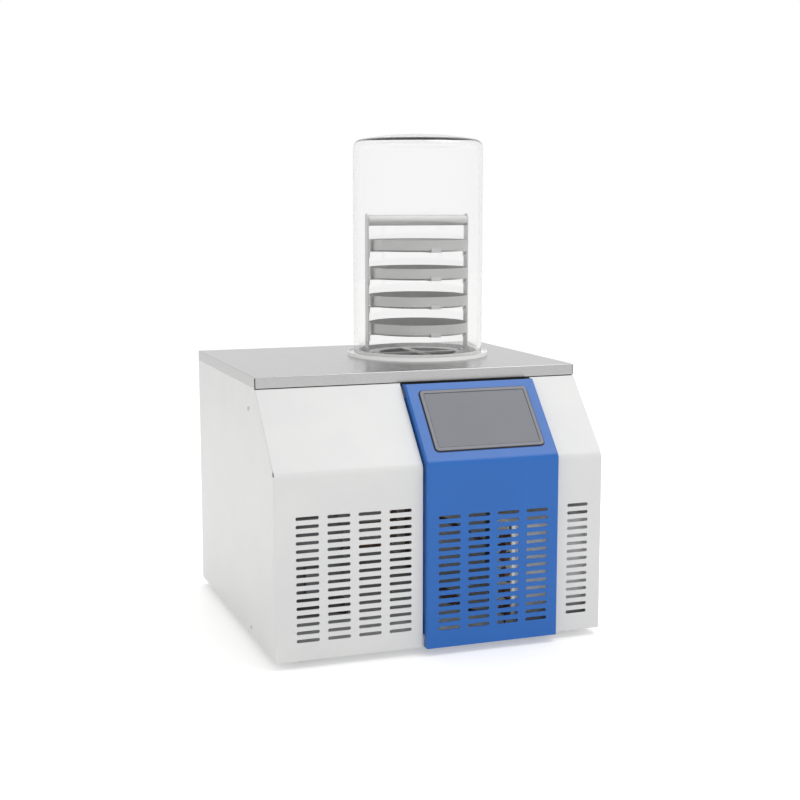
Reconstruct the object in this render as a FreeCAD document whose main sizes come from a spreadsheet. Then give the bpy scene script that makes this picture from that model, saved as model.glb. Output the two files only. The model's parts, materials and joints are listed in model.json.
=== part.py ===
import FreeCAD, Part
import math
import os
import re
import Sketcher
from FreeCAD import Placement, Rotation, Vector

# Bench-top freeze dryer: a sloping-front sheet cabinet with a refrigerated cold trap, and a clear
# bell chamber on top that holds a rack of four round trays.  Millimetres, +Z up, front faces -Y.
# Inside the document every cabinet piece is drawn from one corner of reference: x from the middle
# of the cabinet, y back from the white front face, z up from the underside of the cabinet.

doc = FreeCAD.newDocument("freeze_dryer")

# Sizes.

SIZES = {
    # cabinet
    "body_width": 615,
    "body_depth": 592.5,
    "body_height": 476.5,
    "bend_height": 324.5,
    "nose_radius": 15,
    "sheet_wall": 1.2,
    "sheet_fit": 0.3,
    "fold_radius": 2,
    "return_depth": 14,
    "bend_relief": 9,
    "notch_width": 1.5,
    "notch_depth": 8,
    "notch_drop": 2,
    "notch_rise": 8,
    "seam_gap": 1.2,
    # top plate
    "plate_setback": 121,
    "plate_fold": 20,
    "plate_wall": 2,
    "plate_hole_gap": 4,
    "plate_gap": 1.8,
    "corner_gap": 1.6,
    # ventilation slots
    "slot_length": 41,
    "slot_height": 6,
    "slot_pitch": 14.24,
    "slot_first": 34.9,
    "slot_rows": 15,
    "column_pitch": 56,
    "slot_margin": 12,
    "left_margin": 58,
    "right_margin": 47.7,
    # front cover
    "cover_inset": 219.2,
    "cover_width": 251,
    "cover_proud": 14.5,
    "cover_gap": 3.2,
    "cover_depth": 24,
    "cover_foot": 44,
    "relief_radius": 2,
    "relief_inset": 6.5,
    # screen
    "screen_width": 207,
    "screen_height": 127,
    "screen_corner": 6.5,
    "screen_rim": 5.5,
    "screen_proud": 3,
    "screen_drop": 7,
    "glass_wall": 2,
    "glass_sunk": 0.8,
    "glass_fit": 0.2,
    "glass_corner": 3,
    "collar_depth": 8,
    "collar_wall": 4,
    "housing_depth": 30,
    # base
    "pan_wall": 1.5,
    "pan_lip": 20,
    "foot_height": 14,
    "foot_radius": 16,
    "foot_top_radius": 13,
    "foot_inset": 55,
    # chamber
    "chamber_inset": 215.5,
    "chamber_back": 212.5,
    "chamber_radius": 127.8,
    "chamber_wall": 7,
    "chamber_height": 427.5,
    "chamber_lid": 10,
    "chamber_dome": 13,
    "chamber_crown": 8,
    "seal_radius": 139.5,
    "seal_wall": 3,
    "seal_bead": 2.4,
    "seal_bead_rise": 2,
    "seal_lip": 2.5,
    "seal_lip_rise": 6,
    "seal_fit": 0.4,
    # cold trap
    "trap_radius": 92,
    "trap_wall": 1.5,
    "trap_depth": 180,
    "trap_flange": 136.5,
    "trap_flange_wall": 2,
    "trap_corner": 10,
    "jacket_wall": 6,
    "jacket_top": 66,
    "jacket_fit": 0.3,
    "foam_wall": 45,
    "foam_floor": 40,
    "nozzle_proud": 4,
    "nozzle_wall": 1,
    # rack
    "rack_radius": 102.5,
    "rack_plate": 3,
    "rack_hole": 76.5,
    "rack_bar": 15,
    "upright_width": 18,
    "upright_wall": 2.5,
    "upright_gap": 1,
    "upright_top": 279,
    "upright_head": 8.1,
    "upright_foot": 12,
    "handle_radius": 10.5,
    "handle_wall": 1.5,
    "handle_height": 266,
    "support_wall": 1.5,
    "support_width": 20,
    "support_lip": 7,
    "support_ear": 11,
    "rack_screw_radius": 2,
    "rack_screw_head": 3.4,
    # trays
    "tray_radius": 98,
    "tray_height": 22,
    "tray_wall": 1,
    "tray_corner": 3,
    "tray_count": 4,
    "tray_first": 43.5,
    "tray_pitch": 54.3,
    # refrigeration
    "mount_height": 12,
    "mount_radius": 11,
    "compressor_inset": 137.5,
    "compressor_back": 292.5,
    "compressor_radius": 74,
    "compressor_height": 190,
    "compressor_seam": 4,
    "compressor_seam_rise": 104.5,
    "compressor_foot": 150,
    "compressor_foot_wall": 3,
    "compressor_sump": 24,
    "compressor_dome": 45,
    "compressor_shoulder": 13.5,
    "terminal_width": 44,
    "terminal_height": 52,
    "terminal_proud": 14,
    "terminal_rise": 36,
    "stub_wall": 1.5,
    "stub_reach": 90,
    "mount_neck": 5,
    "mount_spread": 58,
    "condenser_inset": 92.5,
    "condenser_y": 18,
    "condenser_width": 152,
    "condenser_depth": 40,
    "condenser_height": 205,
    "fin_count": 24,
    "fin_wall": 1,
    "fin_gap": 5,
    "end_wall": 1.5,
    "fan_radius": 68,
    "fan_hub": 22,
    "fan_hub_depth": 18,
    "fan_tip_gap": 4,
    "fan_back_gap": 3,
    "arm_width": 14,
    "blade_wall": 1.6,
    "blade_chord": 42,
    "blade_rise": 22,
    "blade_bow": 13.6,
    "blade_curve": 38,
    "blade_root": 2,
    "blade_count": 5,
    "shroud_wall": 1.5,
    "shroud_depth": 30,
    "motor_radius": 28,
    "motor_length": 38,
    "motor_boss": 4,
    "motor_boss_radius": 11,
    "shaft_set": 2,
    "shaft_radius": 3,
    "running_gap": 0.05,
    # services at the back
    "port_radius": 14,
    "port_bore": 12,
    "port_flange": 20,
    "port_flange_wall": 3,
    "port_reach": 34,
    "port_drop": 48,
    "drain_radius": 5,
    "drain_bore": 3.5,
    "drain_drop": 60.7,
    "drain_reach": 44,
    "barb_length": 20,
    "valve_radius": 9,
    "stem_radius": 3,
    "lever_length": 44,
    "lever_width": 9,
    "lever_wall": 2.5,
    "lever_gap": 0.6,
    "lever_corner": 4,
    "valve_gap": 6,
    "barb_proud": 1,
    "barb_ring": 4,
    "vent_body": 18,
    "vent_spout": 6,
    "knob_gap": 0.5,
    "vent_offset": 56,
    "knob_radius": 11,
    "knob_length": 16,
    "knob_base": 6.4,
    "knob_grip": 7.7,
    "stem_depth": 5.4,
    "hole_fit": 0.4,
    "inlet_inset": 72.5,
    "outlet_inset": 142.5,
    "switch_inset": 197.5,
    "socket_z": 80,
    "socket_width": 28,
    "socket_height": 20.5,
    "socket_flange": 9,
    "socket_flange_wall": 2.5,
    "socket_depth": 17,
    "socket_skin": 2,
    "pin_length": 11,
    "pin_wall": 2,
    "pin_height": 4,
    "pin_spread": 7,
    "pin_rise": 2.5,
    "outlet_slot": 4.8,
    "switch_width": 14,
    "switch_height": 24,
    "switch_swing": 16,
    "switch_wall": 1.5,
    "switch_well": 10.2,
    "switch_play": 0.6,
    "rocker_rise": 1.6,
    "pivot_radius": 1.2,
    "pivot_length": 1,
    "pivot_play": 0.2,
    "rear_slot_length": 90,
    "rear_slot_z": 60,
    "rear_slot_rows": 8,
    "post_width": 20,
    "post_wall": 1.5,
    "post_y": 155,
    "screw_radius": 2,
    "screw_head": 3.6,
    "screw_head_depth": 2,
    "screw_length": 8,
    "upper_screw_inset": 12,
    "upper_screw_drop": 60.5,
    "lower_screw_y": 172,
    "lower_screw_z": 14.5,
    "rear_screw_inset": 40,
    "box_inset": 102.5,
    "box_width": 150,
    "box_depth": 95,
    "box_height": 120,
    "box_back": 127.5,
    "drier_offset": 145,
    "drier_y": 120,
    "drier_radius": 11,
    "drier_length": 100,
    "drier_neck": 12,
    "drier_z": 40,
    "pipe_radius": 4,
    "suction_radius": 5,
    "pipe_bend": 18,
    "discharge_offset": 107,
    "stub_shift": 20,
    "discharge_z": 160,
    "suction_offset": 72,
    "suction_z": 110,
    # how far a joined feature starts inside the one that carries it
    "run_in": 10,
}

# Worked out from the sizes above.
DERIVED = {
    "half_width": "body_width / 2",
    "slope_rise": "body_height - plate_fold - bend_height",
    "slope_length": "sqrt(plate_setback ^ 2 + slope_rise ^ 2)",
    "slope_angle": "atan(slope_rise / plate_setback)",
    "miter": "(slope_length - slope_rise) / plate_setback",
    "shell_top": "body_height - plate_fold",
    "front_top": "shell_top - plate_gap",
    "plate_seat": "body_height - plate_wall",
    "wall_back": "body_depth - sheet_wall",
    "screen_below_plate": "slope_length / 2 + screen_drop",
    "cover_centre": "half_width - cover_inset",
    "cover_left": "cover_centre - cover_width / 2",
    "cover_right": "cover_centre + cover_width / 2",
    "left_edge": "cover_left - cover_gap",
    "right_edge": "cover_right + cover_gap",
    "left_reach": "half_width + left_edge - left_margin - slot_length / 2 - slot_margin",
    "left_columns": "floor(left_reach / column_pitch) + 1",
    "cover_reach": "cover_width - slot_length - 2 * slot_margin",
    "cover_columns": "floor(cover_reach / column_pitch) + 1",
    "pan_top": "sheet_wall + pan_lip + seam_gap",
    "pan_floor": "sheet_wall + pan_wall",
    "plate_half": "half_width",
    "plate_bend": "plate_wall * 0.95",
    "glass_half_x": "screen_width / 2 - screen_rim",
    "glass_half_y": "screen_height / 2 - screen_rim",
    "chamber_x": "half_width - chamber_inset",
    "chamber_y": "body_depth - chamber_back",
    "seal_floor": "trap_flange_wall + seal_wall",
    "seal_lip_radius": "chamber_radius - chamber_wall - seal_fit",
    "trap_outer": "trap_radius + trap_wall",
    "foam_inner": "trap_outer + jacket_wall + jacket_fit",
    "foam_outer": "foam_inner + foam_wall",
    "trap_bottom": "trap_depth + trap_wall + jacket_fit",
    "nozzle_end": "foam_outer + nozzle_proud",
    "nozzle_bottom": "trap_bottom + foam_floor + nozzle_proud",
    "drain_height": "body_height - nozzle_bottom - drain_drop",
    "rack_floor": "body_height + trap_flange_wall",
    "upright_face": "rack_radius + upright_gap",
    "panel_face": "wall_back + sheet_wall",
    "compressor_x": "compressor_inset - half_width",
    "compressor_y": "body_depth - compressor_back",
    "condenser_x": "half_width - condenser_inset",
    "condenser_back": "condenser_y + condenser_depth",
    "shroud_back": "condenser_back + shroud_depth",
    "fan_axis": "pan_floor + condenser_height / 2",
    "discharge_x": "condenser_x - discharge_offset",
    "discharge_y": "compressor_y - stub_shift",
    "suction_x": "chamber_x - suction_offset",
    "suction_y": "compressor_y + stub_shift",
    "drier_x": "condenser_x - drier_offset",
    "box_x": "half_width - box_inset",
    "box_y": "body_depth - box_back",
    "vent_x": "chamber_x + vent_offset",
    "inlet_x": "half_width - inlet_inset",
    "outlet_x": "half_width - outlet_inset",
    "switch_x": "half_width - switch_inset",
    "upper_screw_y": "post_y + upper_screw_inset",
    "upper_screw_z": "body_height - upper_screw_drop",
    "rear_reach": "max(port_reach; drain_reach)",
    "front_y": "-(body_depth + rear_reach - cover_proud) / 2",
}

sheet = doc.addObject("Spreadsheet::Sheet", "sizes")


def fill_sheet():
    """Write each size as a row: its name, its value, and the name again as the cell's alias."""
    rows = [(name, str(value)) for name, value in SIZES.items()]
    rows += [(name, "=" + text) for name, text in DERIVED.items()]
    for row, (name, content) in enumerate(rows, 1):
        sheet.set(f"A{row}", name)
        sheet.set(f"B{row}", content)
        sheet.setAlias(f"B{row}", name)
    doc.recompute()


def value(text):
    """The number that an expression in the sheet's names gives now."""
    result = sheet.evalExpression(text)
    return float(getattr(result, "Value", result))


def bind(item, prop, text):
    """Tie a property to an expression in which size names stand for the sheet's cells."""
    names = set(SIZES) | set(DERIVED)
    linked = re.sub(
        r"[a-z_]+", lambda word: f"sizes.{word[0]}" if word[0] in names else word[0], str(text)
    )
    item.setExpression(prop, linked)


fill_sheet()

# Sketches and features.

nodes = {}


def node(label, item):
    """Name a finished sub-part; its label is also its file's name."""
    item.Label = label
    nodes[label] = item
    return item


def place(item, x="0", y="0", z="0"):
    """Stand a piece in the row's frame, from cabinet x, y and z."""
    bind(item, "Placement.Base.x", x)
    bind(item, "Placement.Base.y", f"front_y + {y}")
    bind(item, "Placement.Base.z", f"foot_height + {z}")


def new_body(label, x="0", y="0", z="0"):
    body = node(label, doc.addObject("PartDesign::Body", label))
    place(body, x, y, z)
    return body


def new_sketch(body, plane, shift="0"):
    """A sketch on one of the body's origin planes, moved along that plane's normal."""
    sketch = body.newObject("Sketcher::SketchObject", f"{body.Name}_sketch")
    origin = next(item for item in body.Origin.OriginFeatures if item.Role == f"{plane}_Plane")
    sketch.AttachmentSupport = [(origin, "")]
    sketch.MapMode = "FlatFace"
    bind(sketch, "AttachmentOffset.Base.z", shift)
    return sketch


def drive(sketch, constraint, text):
    """Add a dimension that follows an expression."""
    index = sketch.addConstraint(constraint)
    bind(sketch, f"Constraints[{index}]", text)


def drive_point(sketch, shape, end, x, y):
    """Hold a point of a sketch at x and y from the sketch's origin."""
    drive(sketch, Sketcher.Constraint("DistanceX", -1, 1, shape, end, value(x)), x)
    drive(sketch, Sketcher.Constraint("DistanceY", -1, 1, shape, end, value(y)), y)


def outline(sketch, corners, closed=True):
    """A line through corners, each (x, y) or (x, y, bend radius), closed unless it is a path."""
    spots = [Vector(value(corner[0]), value(corner[1]), 0) for corner in corners]
    count = len(corners)
    starts, middles, ends = [], [], []
    for i, corner in enumerate(corners):
        if len(corner) == 2:
            starts.append(spots[i])
            middles.append(None)
            ends.append(spots[i])
            continue
        before = (spots[i - 1] - spots[i]).normalize()
        after = (spots[(i + 1) % count] - spots[i]).normalize()
        radius = value(corner[2])
        half = before.getAngle(after) / 2
        cut = radius / math.tan(half)
        ends.append(spots[i] + before * cut)
        middles.append(spots[i] + (before + after).normalize() * radius * (1 / math.sin(half) - 1))
        starts.append(spots[i] + after * cut)
    lines = [
        sketch.addGeometry(Part.LineSegment(starts[i], ends[(i + 1) % count]), False)
        for i in range(count if closed else count - 1)
    ]
    if not closed:
        drive_point(sketch, lines[0], 1, *corners[0])
        drive_point(sketch, lines[-1], 2, *corners[-1])
    for i, corner in enumerate(corners):
        if not closed and i in (0, count - 1):
            continue
        line_in, line_out = lines[i - 1], lines[i]
        if len(corner) == 2:
            sketch.addConstraint(Sketcher.Constraint("Coincident", line_in, 2, line_out, 1))
            drive_point(sketch, line_out, 1, corner[0], corner[1])
            continue
        point = sketch.addGeometry(Part.Point(spots[i]), True)
        drive_point(sketch, point, 1, corner[0], corner[1])
        arc = sketch.addGeometry(Part.Arc(ends[i], middles[i], starts[i]), False)
        for line, line_end, meet in ((line_in, 2, ends[i]), (line_out, 1, starts[i])):
            sketch.addConstraint(Sketcher.Constraint("PointOnObject", point, 1, line))
            arc_end = 1 if sketch.getPoint(arc, 1).isEqual(meet, 1e-6) else 2
            sketch.addConstraint(Sketcher.Constraint("Tangent", line, line_end, arc, arc_end))
        drive(sketch, Sketcher.Constraint("Radius", arc, value(corner[2])), corner[2])


def rectangle(sketch, left, bottom, right, top, radius=None):
    corners = [(left, bottom), (right, bottom), (right, top), (left, top)]
    outline(sketch, [corner + (radius,) if radius else corner for corner in corners])


def circle(sketch, radius, x="0", y="0"):
    centre = Vector(value(x), value(y), 0)
    ring = sketch.addGeometry(Part.Circle(centre, Vector(0, 0, 1), value(radius)), False)
    drive_point(sketch, ring, 3, x, y)
    drive(sketch, Sketcher.Constraint("Radius", ring, value(radius)), radius)


# Half of one side of an octagon whose sides lie 1 from its middle.
HALF_SIDE = math.tan(math.radians(22.5))


def octagon(sketch, radius, x="0", y="0"):
    """A small clearance hole, eight-sided to keep the facets low."""
    spots = [(1, HALF_SIDE), (HALF_SIDE, 1), (-HALF_SIDE, 1), (-1, HALF_SIDE)]
    spots += [(-across, -up) for across, up in spots]
    outline(sketch, [(f"{x} + ({radius}) * {a}", f"{y} + ({radius}) * {b}") for a, b in spots])


def slot(sketch, x, y, length, height):
    """A slot along the sketch's x, centred at x and y, its ends half an octagon each."""
    tip, high = f"({length}) / 2", f"({height}) / 2"
    low, shoulder = f"{high} * {HALF_SIDE}", f"({tip} - {high} * {1 - HALF_SIDE})"
    spots = [(tip, low), (shoulder, high), (f"-{shoulder}", high), (f"-{tip}", low)]
    upper = [(f"{x} + {across}", f"{y} + {up}") for across, up in spots]
    lower = [(f"{x} + {across}", f"{y} - {up}") for across, up in reversed(spots)]
    outline(sketch, upper + lower)


def pad(body, sketch, length):
    """Add the sketch's area along its plane's normal."""
    feature = body.newObject("PartDesign::Pad", f"{body.Name}_pad")
    feature.Profile = sketch
    bind(feature, "Length", length)
    sketch.Visibility = False
    return feature


def pocket(body, sketch, depth):
    """Cut the sketch's area to the given depth on both sides of its plane, and check that it cuts."""
    doc.recompute()
    before = body.Tip.Shape.Volume
    feature = body.newObject("PartDesign::Pocket", f"{body.Name}_pocket")
    feature.Profile = sketch
    feature.SideType = "Symmetric"
    bind(feature, "Length", f"2 * ({depth})")
    doc.recompute()
    if not feature.Shape.Volume < before:
        raise RuntimeError(f"{feature.Name} cuts nothing")
    return feature


def grid(body, feature, sketch, columns, column_step, rows, row_step):
    """Repeat a feature in columns along its sketch's x and rows along its y."""
    pattern = body.newObject("PartDesign::LinearPattern", f"{body.Name}_grid")
    pattern.Originals = [feature]
    pattern.Direction = (sketch, ["H_Axis"])
    bind(pattern, "Occurrences", columns)
    bind(pattern, "Length", f"({columns} - 1) * {column_step}")
    pattern.Direction2 = (sketch, ["V_Axis"])
    bind(pattern, "Occurrences2", rows)
    bind(pattern, "Length2", f"({rows} - 1) * {row_step}")
    body.Tip = pattern
    return pattern


def revolve(body, corners, plane="XZ"):
    """Turn an outline of (radius, height) corners about the body's upright axis."""
    sketch = new_sketch(body, plane)
    outline(sketch, corners)
    feature = body.newObject("PartDesign::Revolution", f"{body.Name}_revolution")
    feature.Profile = sketch
    feature.ReferenceAxis = (sketch, ["V_Axis"])
    feature.Angle = 360
    sketch.Visibility = False
    return feature


def rod(body, radius, start, end, x="0", z="0"):
    """Add a cylinder that lies along Y from start to end."""
    ring = new_sketch(body, "XZ", f"-({end})")
    circle(ring, radius, x, z)
    pad(body, ring, f"({end}) - ({start})")


def bore(body, radius, start, end, x="0", z="0"):
    """Cut a cylinder that lies along Y from start to end."""
    ring = new_sketch(body, "XZ", f"-(({start}) + ({end})) / 2")
    circle(ring, radius, x, z)
    pocket(body, ring, f"(({end}) - ({start})) / 2")


def slab(body, plane, shift, left, bottom, right, top, depth, corner=None):
    """Add a rectangular block drawn on one plane."""
    face = new_sketch(body, plane, shift)
    rectangle(face, left, bottom, right, top, corner)
    pad(body, face, depth)


def bent_tube(body, plane, corners, radius, start_plane, start_shift, start_x, start_y):
    """Add an eight-sided tube along a flat path that leaves its start plane squarely."""
    path = new_sketch(body, plane)
    outline(path, corners, False)
    ring = new_sketch(body, start_plane, start_shift)
    octagon(ring, radius, start_x, start_y)
    feature = body.newObject("PartDesign::AdditivePipe", f"{body.Name}_tube")
    feature.Profile = ring
    feature.Spine = (path, [])
    path.Visibility = False
    ring.Visibility = False
    return feature


def cylinder(name, radius, height, z="0"):
    """A plain upright cylinder that a group or a union takes up."""
    item = doc.addObject("Part::Cylinder", name)
    bind(item, "Radius", radius)
    bind(item, "Height", height)
    bind(item, "Placement.Base.z", z)
    return item


def union(name, items):
    both = doc.addObject("Part::MultiFuse", name)
    both.Shapes = items
    return both


def group(label, items):
    """Several separate solids of one kind, kept as one node."""
    compound = node(label, doc.addObject("Part::Compound", label))
    compound.Links = items


def fillet(body, edges, radius):
    """Round the edges of the body's tip that the test picks."""
    doc.recompute()
    base = body.Tip
    names = [f"Edge{i}" for i, edge in enumerate(base.Shape.Edges, 1) if edges(edge)]
    if not names:
        raise RuntimeError(f"{body.Name} has no edge to round")
    feature = body.newObject("PartDesign::Fillet", f"{body.Name}_fillet")
    feature.Base = (base, names)
    bind(feature, "Radius", radius)
    return feature


def points_of(edge):
    """Both ends and the middle of an edge."""
    first, last = edge.ParameterRange
    return [edge.valueAt(first), edge.valueAt((first + last) / 2), edge.valueAt(last)]


# The folded cabinet.


REAR_SCREW_X = ("-(half_width - return_depth / 2)", "half_width - return_depth / 2")
REAR_SCREW_Z = ("rear_screw_inset", "body_height / 2", "body_height - rear_screw_inset")


def slope_y(offset, height):
    """Where a line that lies offset inside the sloping face crosses a height."""
    rise = f"(({height}) - bend_height + ({offset}) * miter)"
    return f"({offset}) + {rise} * plate_setback / slope_rise"


def bend_z(offset):
    return f"bend_height - ({offset}) * miter"


def front_strip(offset, top, top_return, foot="return_depth"):
    """The section of a front sheet: foot, upright face, bend, slope and top return."""
    inner = f"({offset}) + sheet_wall"
    top_inner = f"({top}) - sheet_wall"
    outer_bend = (offset, bend_z(offset), "nose_radius")
    inner_bend = (inner, bend_z(inner), "nose_radius - sheet_wall")
    corners = [(f"({offset}) + {foot}", "0"), (offset, "0"), outer_bend]
    corners.append((slope_y(offset, top), top))
    if top_return:
        back = f"{slope_y(offset, top)} + return_depth"
        corners += [(back, top), (back, top_inner), (slope_y(inner, top_inner), top_inner)]
    else:
        corners.append((slope_y(inner, top), top))
    corners += [inner_bend, (inner, "sheet_wall"), (f"({offset}) + {foot}", "sheet_wall")]
    return corners


def on_front_fold(x, offset):
    """A test for the edges of a front sheet's outer face at one x."""
    rise, run, length = value("slope_rise"), value("plate_setback"), value("slope_length")
    bend = value("bend_height")
    half_turn = math.radians(90 - value("slope_angle")) / 2
    bend_sag = value("nose_radius") * (1 / math.cos(half_turn) - 1) + 0.01

    def inside(point):
        slope = ((point.y * rise) - (point.z - bend) * run) / length
        return min(point.y, slope) - offset

    def test(edge):
        spots = points_of(edge)
        if any(abs(spot.x - x) > 1e-4 for spot in spots):
            return False
        return all(-1e-4 < inside(spot) < bend_sag for spot in spots) and edge.Length > 3

    return test


def side_shell(side):
    """One half of the cabinet: side wall, half of the front, and returns, folded from one sheet."""
    left = side == "left"
    body = new_body(f"side_shell_{side}")
    wall_x = "-half_width" if left else "half_width - sheet_wall"
    strip_x = "-half_width" if left else "right_edge"
    strip_length = "half_width + left_edge" if left else "half_width - right_edge"
    edge_x = "left_edge - sheet_wall" if left else "right_edge"
    inner_x = "-half_width" if left else "half_width - return_depth"

    strip = new_sketch(body, "YZ", strip_x)
    outline(strip, front_strip("0", "front_top", True))
    pad(body, strip, strip_length)

    wall = new_sketch(body, "YZ", wall_x)
    step = "plate_setback + plate_wall + plate_gap"
    outline(
        wall,
        [
            ("0", "0"),
            ("wall_back", "0"),
            ("wall_back", "shell_top"),
            (step, "shell_top"),
            (step, "front_top"),
            (slope_y("0", "front_top"), "front_top"),
            ("0", "bend_height", "nose_radius"),
        ],
    )
    pad(body, wall, "sheet_wall")

    returns = new_sketch(body, "YZ", inner_x)
    rectangle(returns, "sheet_wall", "0", "wall_back", "sheet_wall")
    front = slope_y("return_depth", "shell_top")
    rectangle(returns, front, "shell_top - sheet_wall", "wall_back", "shell_top")
    low, high = "sheet_wall * 2", "shell_top - sheet_wall * 2"
    rectangle(returns, "wall_back - sheet_wall", low, "wall_back", high)
    pad(body, returns, "return_depth")

    edge = new_sketch(body, "YZ", edge_x)
    low_end, high_end = "bend_height - bend_relief", "bend_height + bend_relief"
    drop = "return_depth * plate_setback / slope_length"
    back = "return_depth * slope_rise / slope_length"
    rectangle(edge, "sheet_wall / 2", "pan_top", "return_depth", low_end)
    outline(
        edge,
        [
            (slope_y("sheet_wall / 2", high_end), high_end),
            (slope_y("sheet_wall / 2", "front_top - sheet_wall"), "front_top - sheet_wall"),
            (f"{slope_y('0', 'front_top')} + {back}", f"front_top - sheet_wall - {drop}"),
            (f"{slope_y('0', high_end)} + {back}", f"{high_end} - {drop}"),
        ],
    )
    pad(body, edge, "sheet_wall")

    corner_x = value("-half_width" if left else "half_width")
    fillet(body, on_front_fold(corner_x, 0), "fold_radius")

    notch = new_sketch(body, "XZ")
    notch_x = "-half_width" if left else "half_width - notch_width"
    foot, head = "bend_height - notch_drop", "bend_height + notch_rise"
    rectangle(notch, notch_x, foot, f"{notch_x} + notch_width", head)
    pocket(body, notch, "notch_depth")

    holes = new_sketch(body, "XZ")
    columns = "left_columns" if left else "1"
    rows = "slot_rows + 1" if left else "slot_rows"
    first_x = "left_margin - half_width" if left else "half_width - right_margin"
    slot(holes, first_x, "slot_first", "slot_length", "slot_height")
    first = pocket(body, holes, "sheet_wall * 2")
    grid(body, first, holes, columns, "column_pitch", rows, "slot_pitch")

    holes = new_sketch(body, "YZ", wall_x)
    octagon(holes, "screw_radius + hole_fit / 2", "upper_screw_y", "upper_screw_z")
    octagon(holes, "screw_radius + hole_fit / 2", "lower_screw_y", "lower_screw_z")
    pocket(body, holes, "sheet_wall * 2")
    holes = new_sketch(body, "XZ", "-wall_back")
    for z in REAR_SCREW_Z:
        octagon(holes, "screw_radius + hole_fit / 2", REAR_SCREW_X[0 if left else 1], z)
    pocket(body, holes, "sheet_wall * 2")


def front_cover():
    """The proud cover between the shells: slotted face, slope with the screen opening, side flanges."""
    body = new_body("front_cover")
    face = new_sketch(body, "YZ", "cover_left")
    outline(face, front_strip("-cover_proud", "front_top", False, "cover_foot"))
    pad(body, face, "cover_width")

    inner = "cover_depth - cover_proud"
    for side_x in ("cover_left", "cover_right - sheet_wall"):
        flange = new_sketch(body, "YZ", side_x)
        outline(
            flange,
            [
                ("-cover_proud", "0"),
                ("0", "0"),
                ("0", "pan_top"),
                (inner, "pan_top"),
                (inner, bend_z(inner)),
                (slope_y(inner, "front_top - cover_depth"), "front_top - cover_depth"),
                (slope_y("0", "front_top - cover_depth"), "front_top - cover_depth"),
                (slope_y("0", "front_top - sheet_wall"), "front_top - sheet_wall"),
                (slope_y("-cover_proud", "front_top"), "front_top"),
                ("-cover_proud", bend_z("-cover_proud"), "nose_radius"),
            ],
        )
        pad(body, flange, "sheet_wall")

    for side_x in ("cover_left", "cover_right"):
        fillet(body, on_front_fold(value(side_x), -value("cover_proud")), "fold_radius")

    relief = new_sketch(body, "YZ", "cover_centre")
    circle(relief, "relief_radius", "relief_inset - cover_proud", bend_z("-cover_proud"))
    pocket(body, relief, "cover_width")

    holes = new_sketch(body, "XZ", "cover_proud")
    first_x = "cover_centre - column_pitch * (cover_columns - 1) / 2"
    slot(holes, first_x, "slot_first", "slot_length", "slot_height")
    first = pocket(body, holes, "sheet_wall * 2")
    grid(body, first, holes, "cover_columns", "column_pitch", "slot_rows", "slot_pitch")

    window = new_sketch(body, "XY")
    on_slope(window, "screen_below_plate", "AttachmentOffset", "0", "0")
    half_x, half_y = "(screen_width / 2 - screen_rim)", "(screen_height / 2 - screen_rim)"
    rectangle(window, f"cover_centre - {half_x}", f"-{half_y}", f"cover_centre + {half_x}", half_y)
    pocket(body, window, "sheet_wall * 3")


def on_slope(item, down, prop, start_y, start_z):
    """Lay an item's own XY plane on the cover's sloping face, its middle this far below the plate."""
    along = f"(slope_length - {down})"
    reach = f"({along} * plate_setback - cover_proud * slope_rise) / slope_length"
    lift = f"({along} * slope_rise + cover_proud * plate_setback) / slope_length"
    bind(item, f"{prop}.Base.y", f"{start_y} + {reach}")
    bind(item, f"{prop}.Base.z", f"{start_z} + bend_height + {lift}")
    getattr(item, prop).Rotation = Rotation(Vector(1, 0, 0), 10)
    bind(item, f"{prop}.Rotation.Angle", "slope_angle")


def top_plate():
    """The folded stainless lid of the cabinet, open at its corners, with the mouth of the cold trap."""
    body = new_body("top_plate")
    flat = new_sketch(body, "XY", "plate_seat")
    rectangle(flat, "-plate_half", "plate_setback", "plate_half", "body_depth")
    pad(body, flat, "plate_wall")
    folds = new_sketch(body, "XY", "body_height - plate_fold")
    front_inner, back_inner = "plate_setback + plate_wall", "body_depth - plate_wall"
    side_start, side_end = "plate_setback + corner_gap", "body_depth - corner_gap"
    open_half = "(plate_half - corner_gap)"
    rectangle(folds, f"-{open_half}", "plate_setback", open_half, front_inner)
    rectangle(folds, f"-{open_half}", back_inner, open_half, "body_depth")
    sides = new_sketch(body, "XY", "body_height - plate_fold")
    rectangle(sides, "-plate_half", side_start, "plate_wall - plate_half", side_end)
    rectangle(sides, "plate_half - plate_wall", side_start, "plate_half", side_end)
    pad(body, sides, "plate_fold - plate_wall / 2")
    pad(body, folds, "plate_fold - plate_wall / 2")
    half, top = value("plate_half"), value("body_height")
    front, back = value("plate_setback"), value("body_depth")

    def on_rim(edge):
        spots = points_of(edge)
        flat_top = all(abs(spot.z - top) < 1e-4 for spot in spots)
        at_side = all(abs(abs(spot.x) - half) < 1e-4 for spot in spots)
        at_end = all(min(abs(spot.y - front), abs(spot.y - back)) < 1e-4 for spot in spots)
        return flat_top and (at_side or at_end)

    fillet(body, on_rim, "plate_bend")
    mouth = new_sketch(body, "XY", "plate_seat")
    circle(mouth, "trap_outer + plate_hole_gap", "chamber_x", "chamber_y")
    pocket(body, mouth, "plate_wall * 2")


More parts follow.
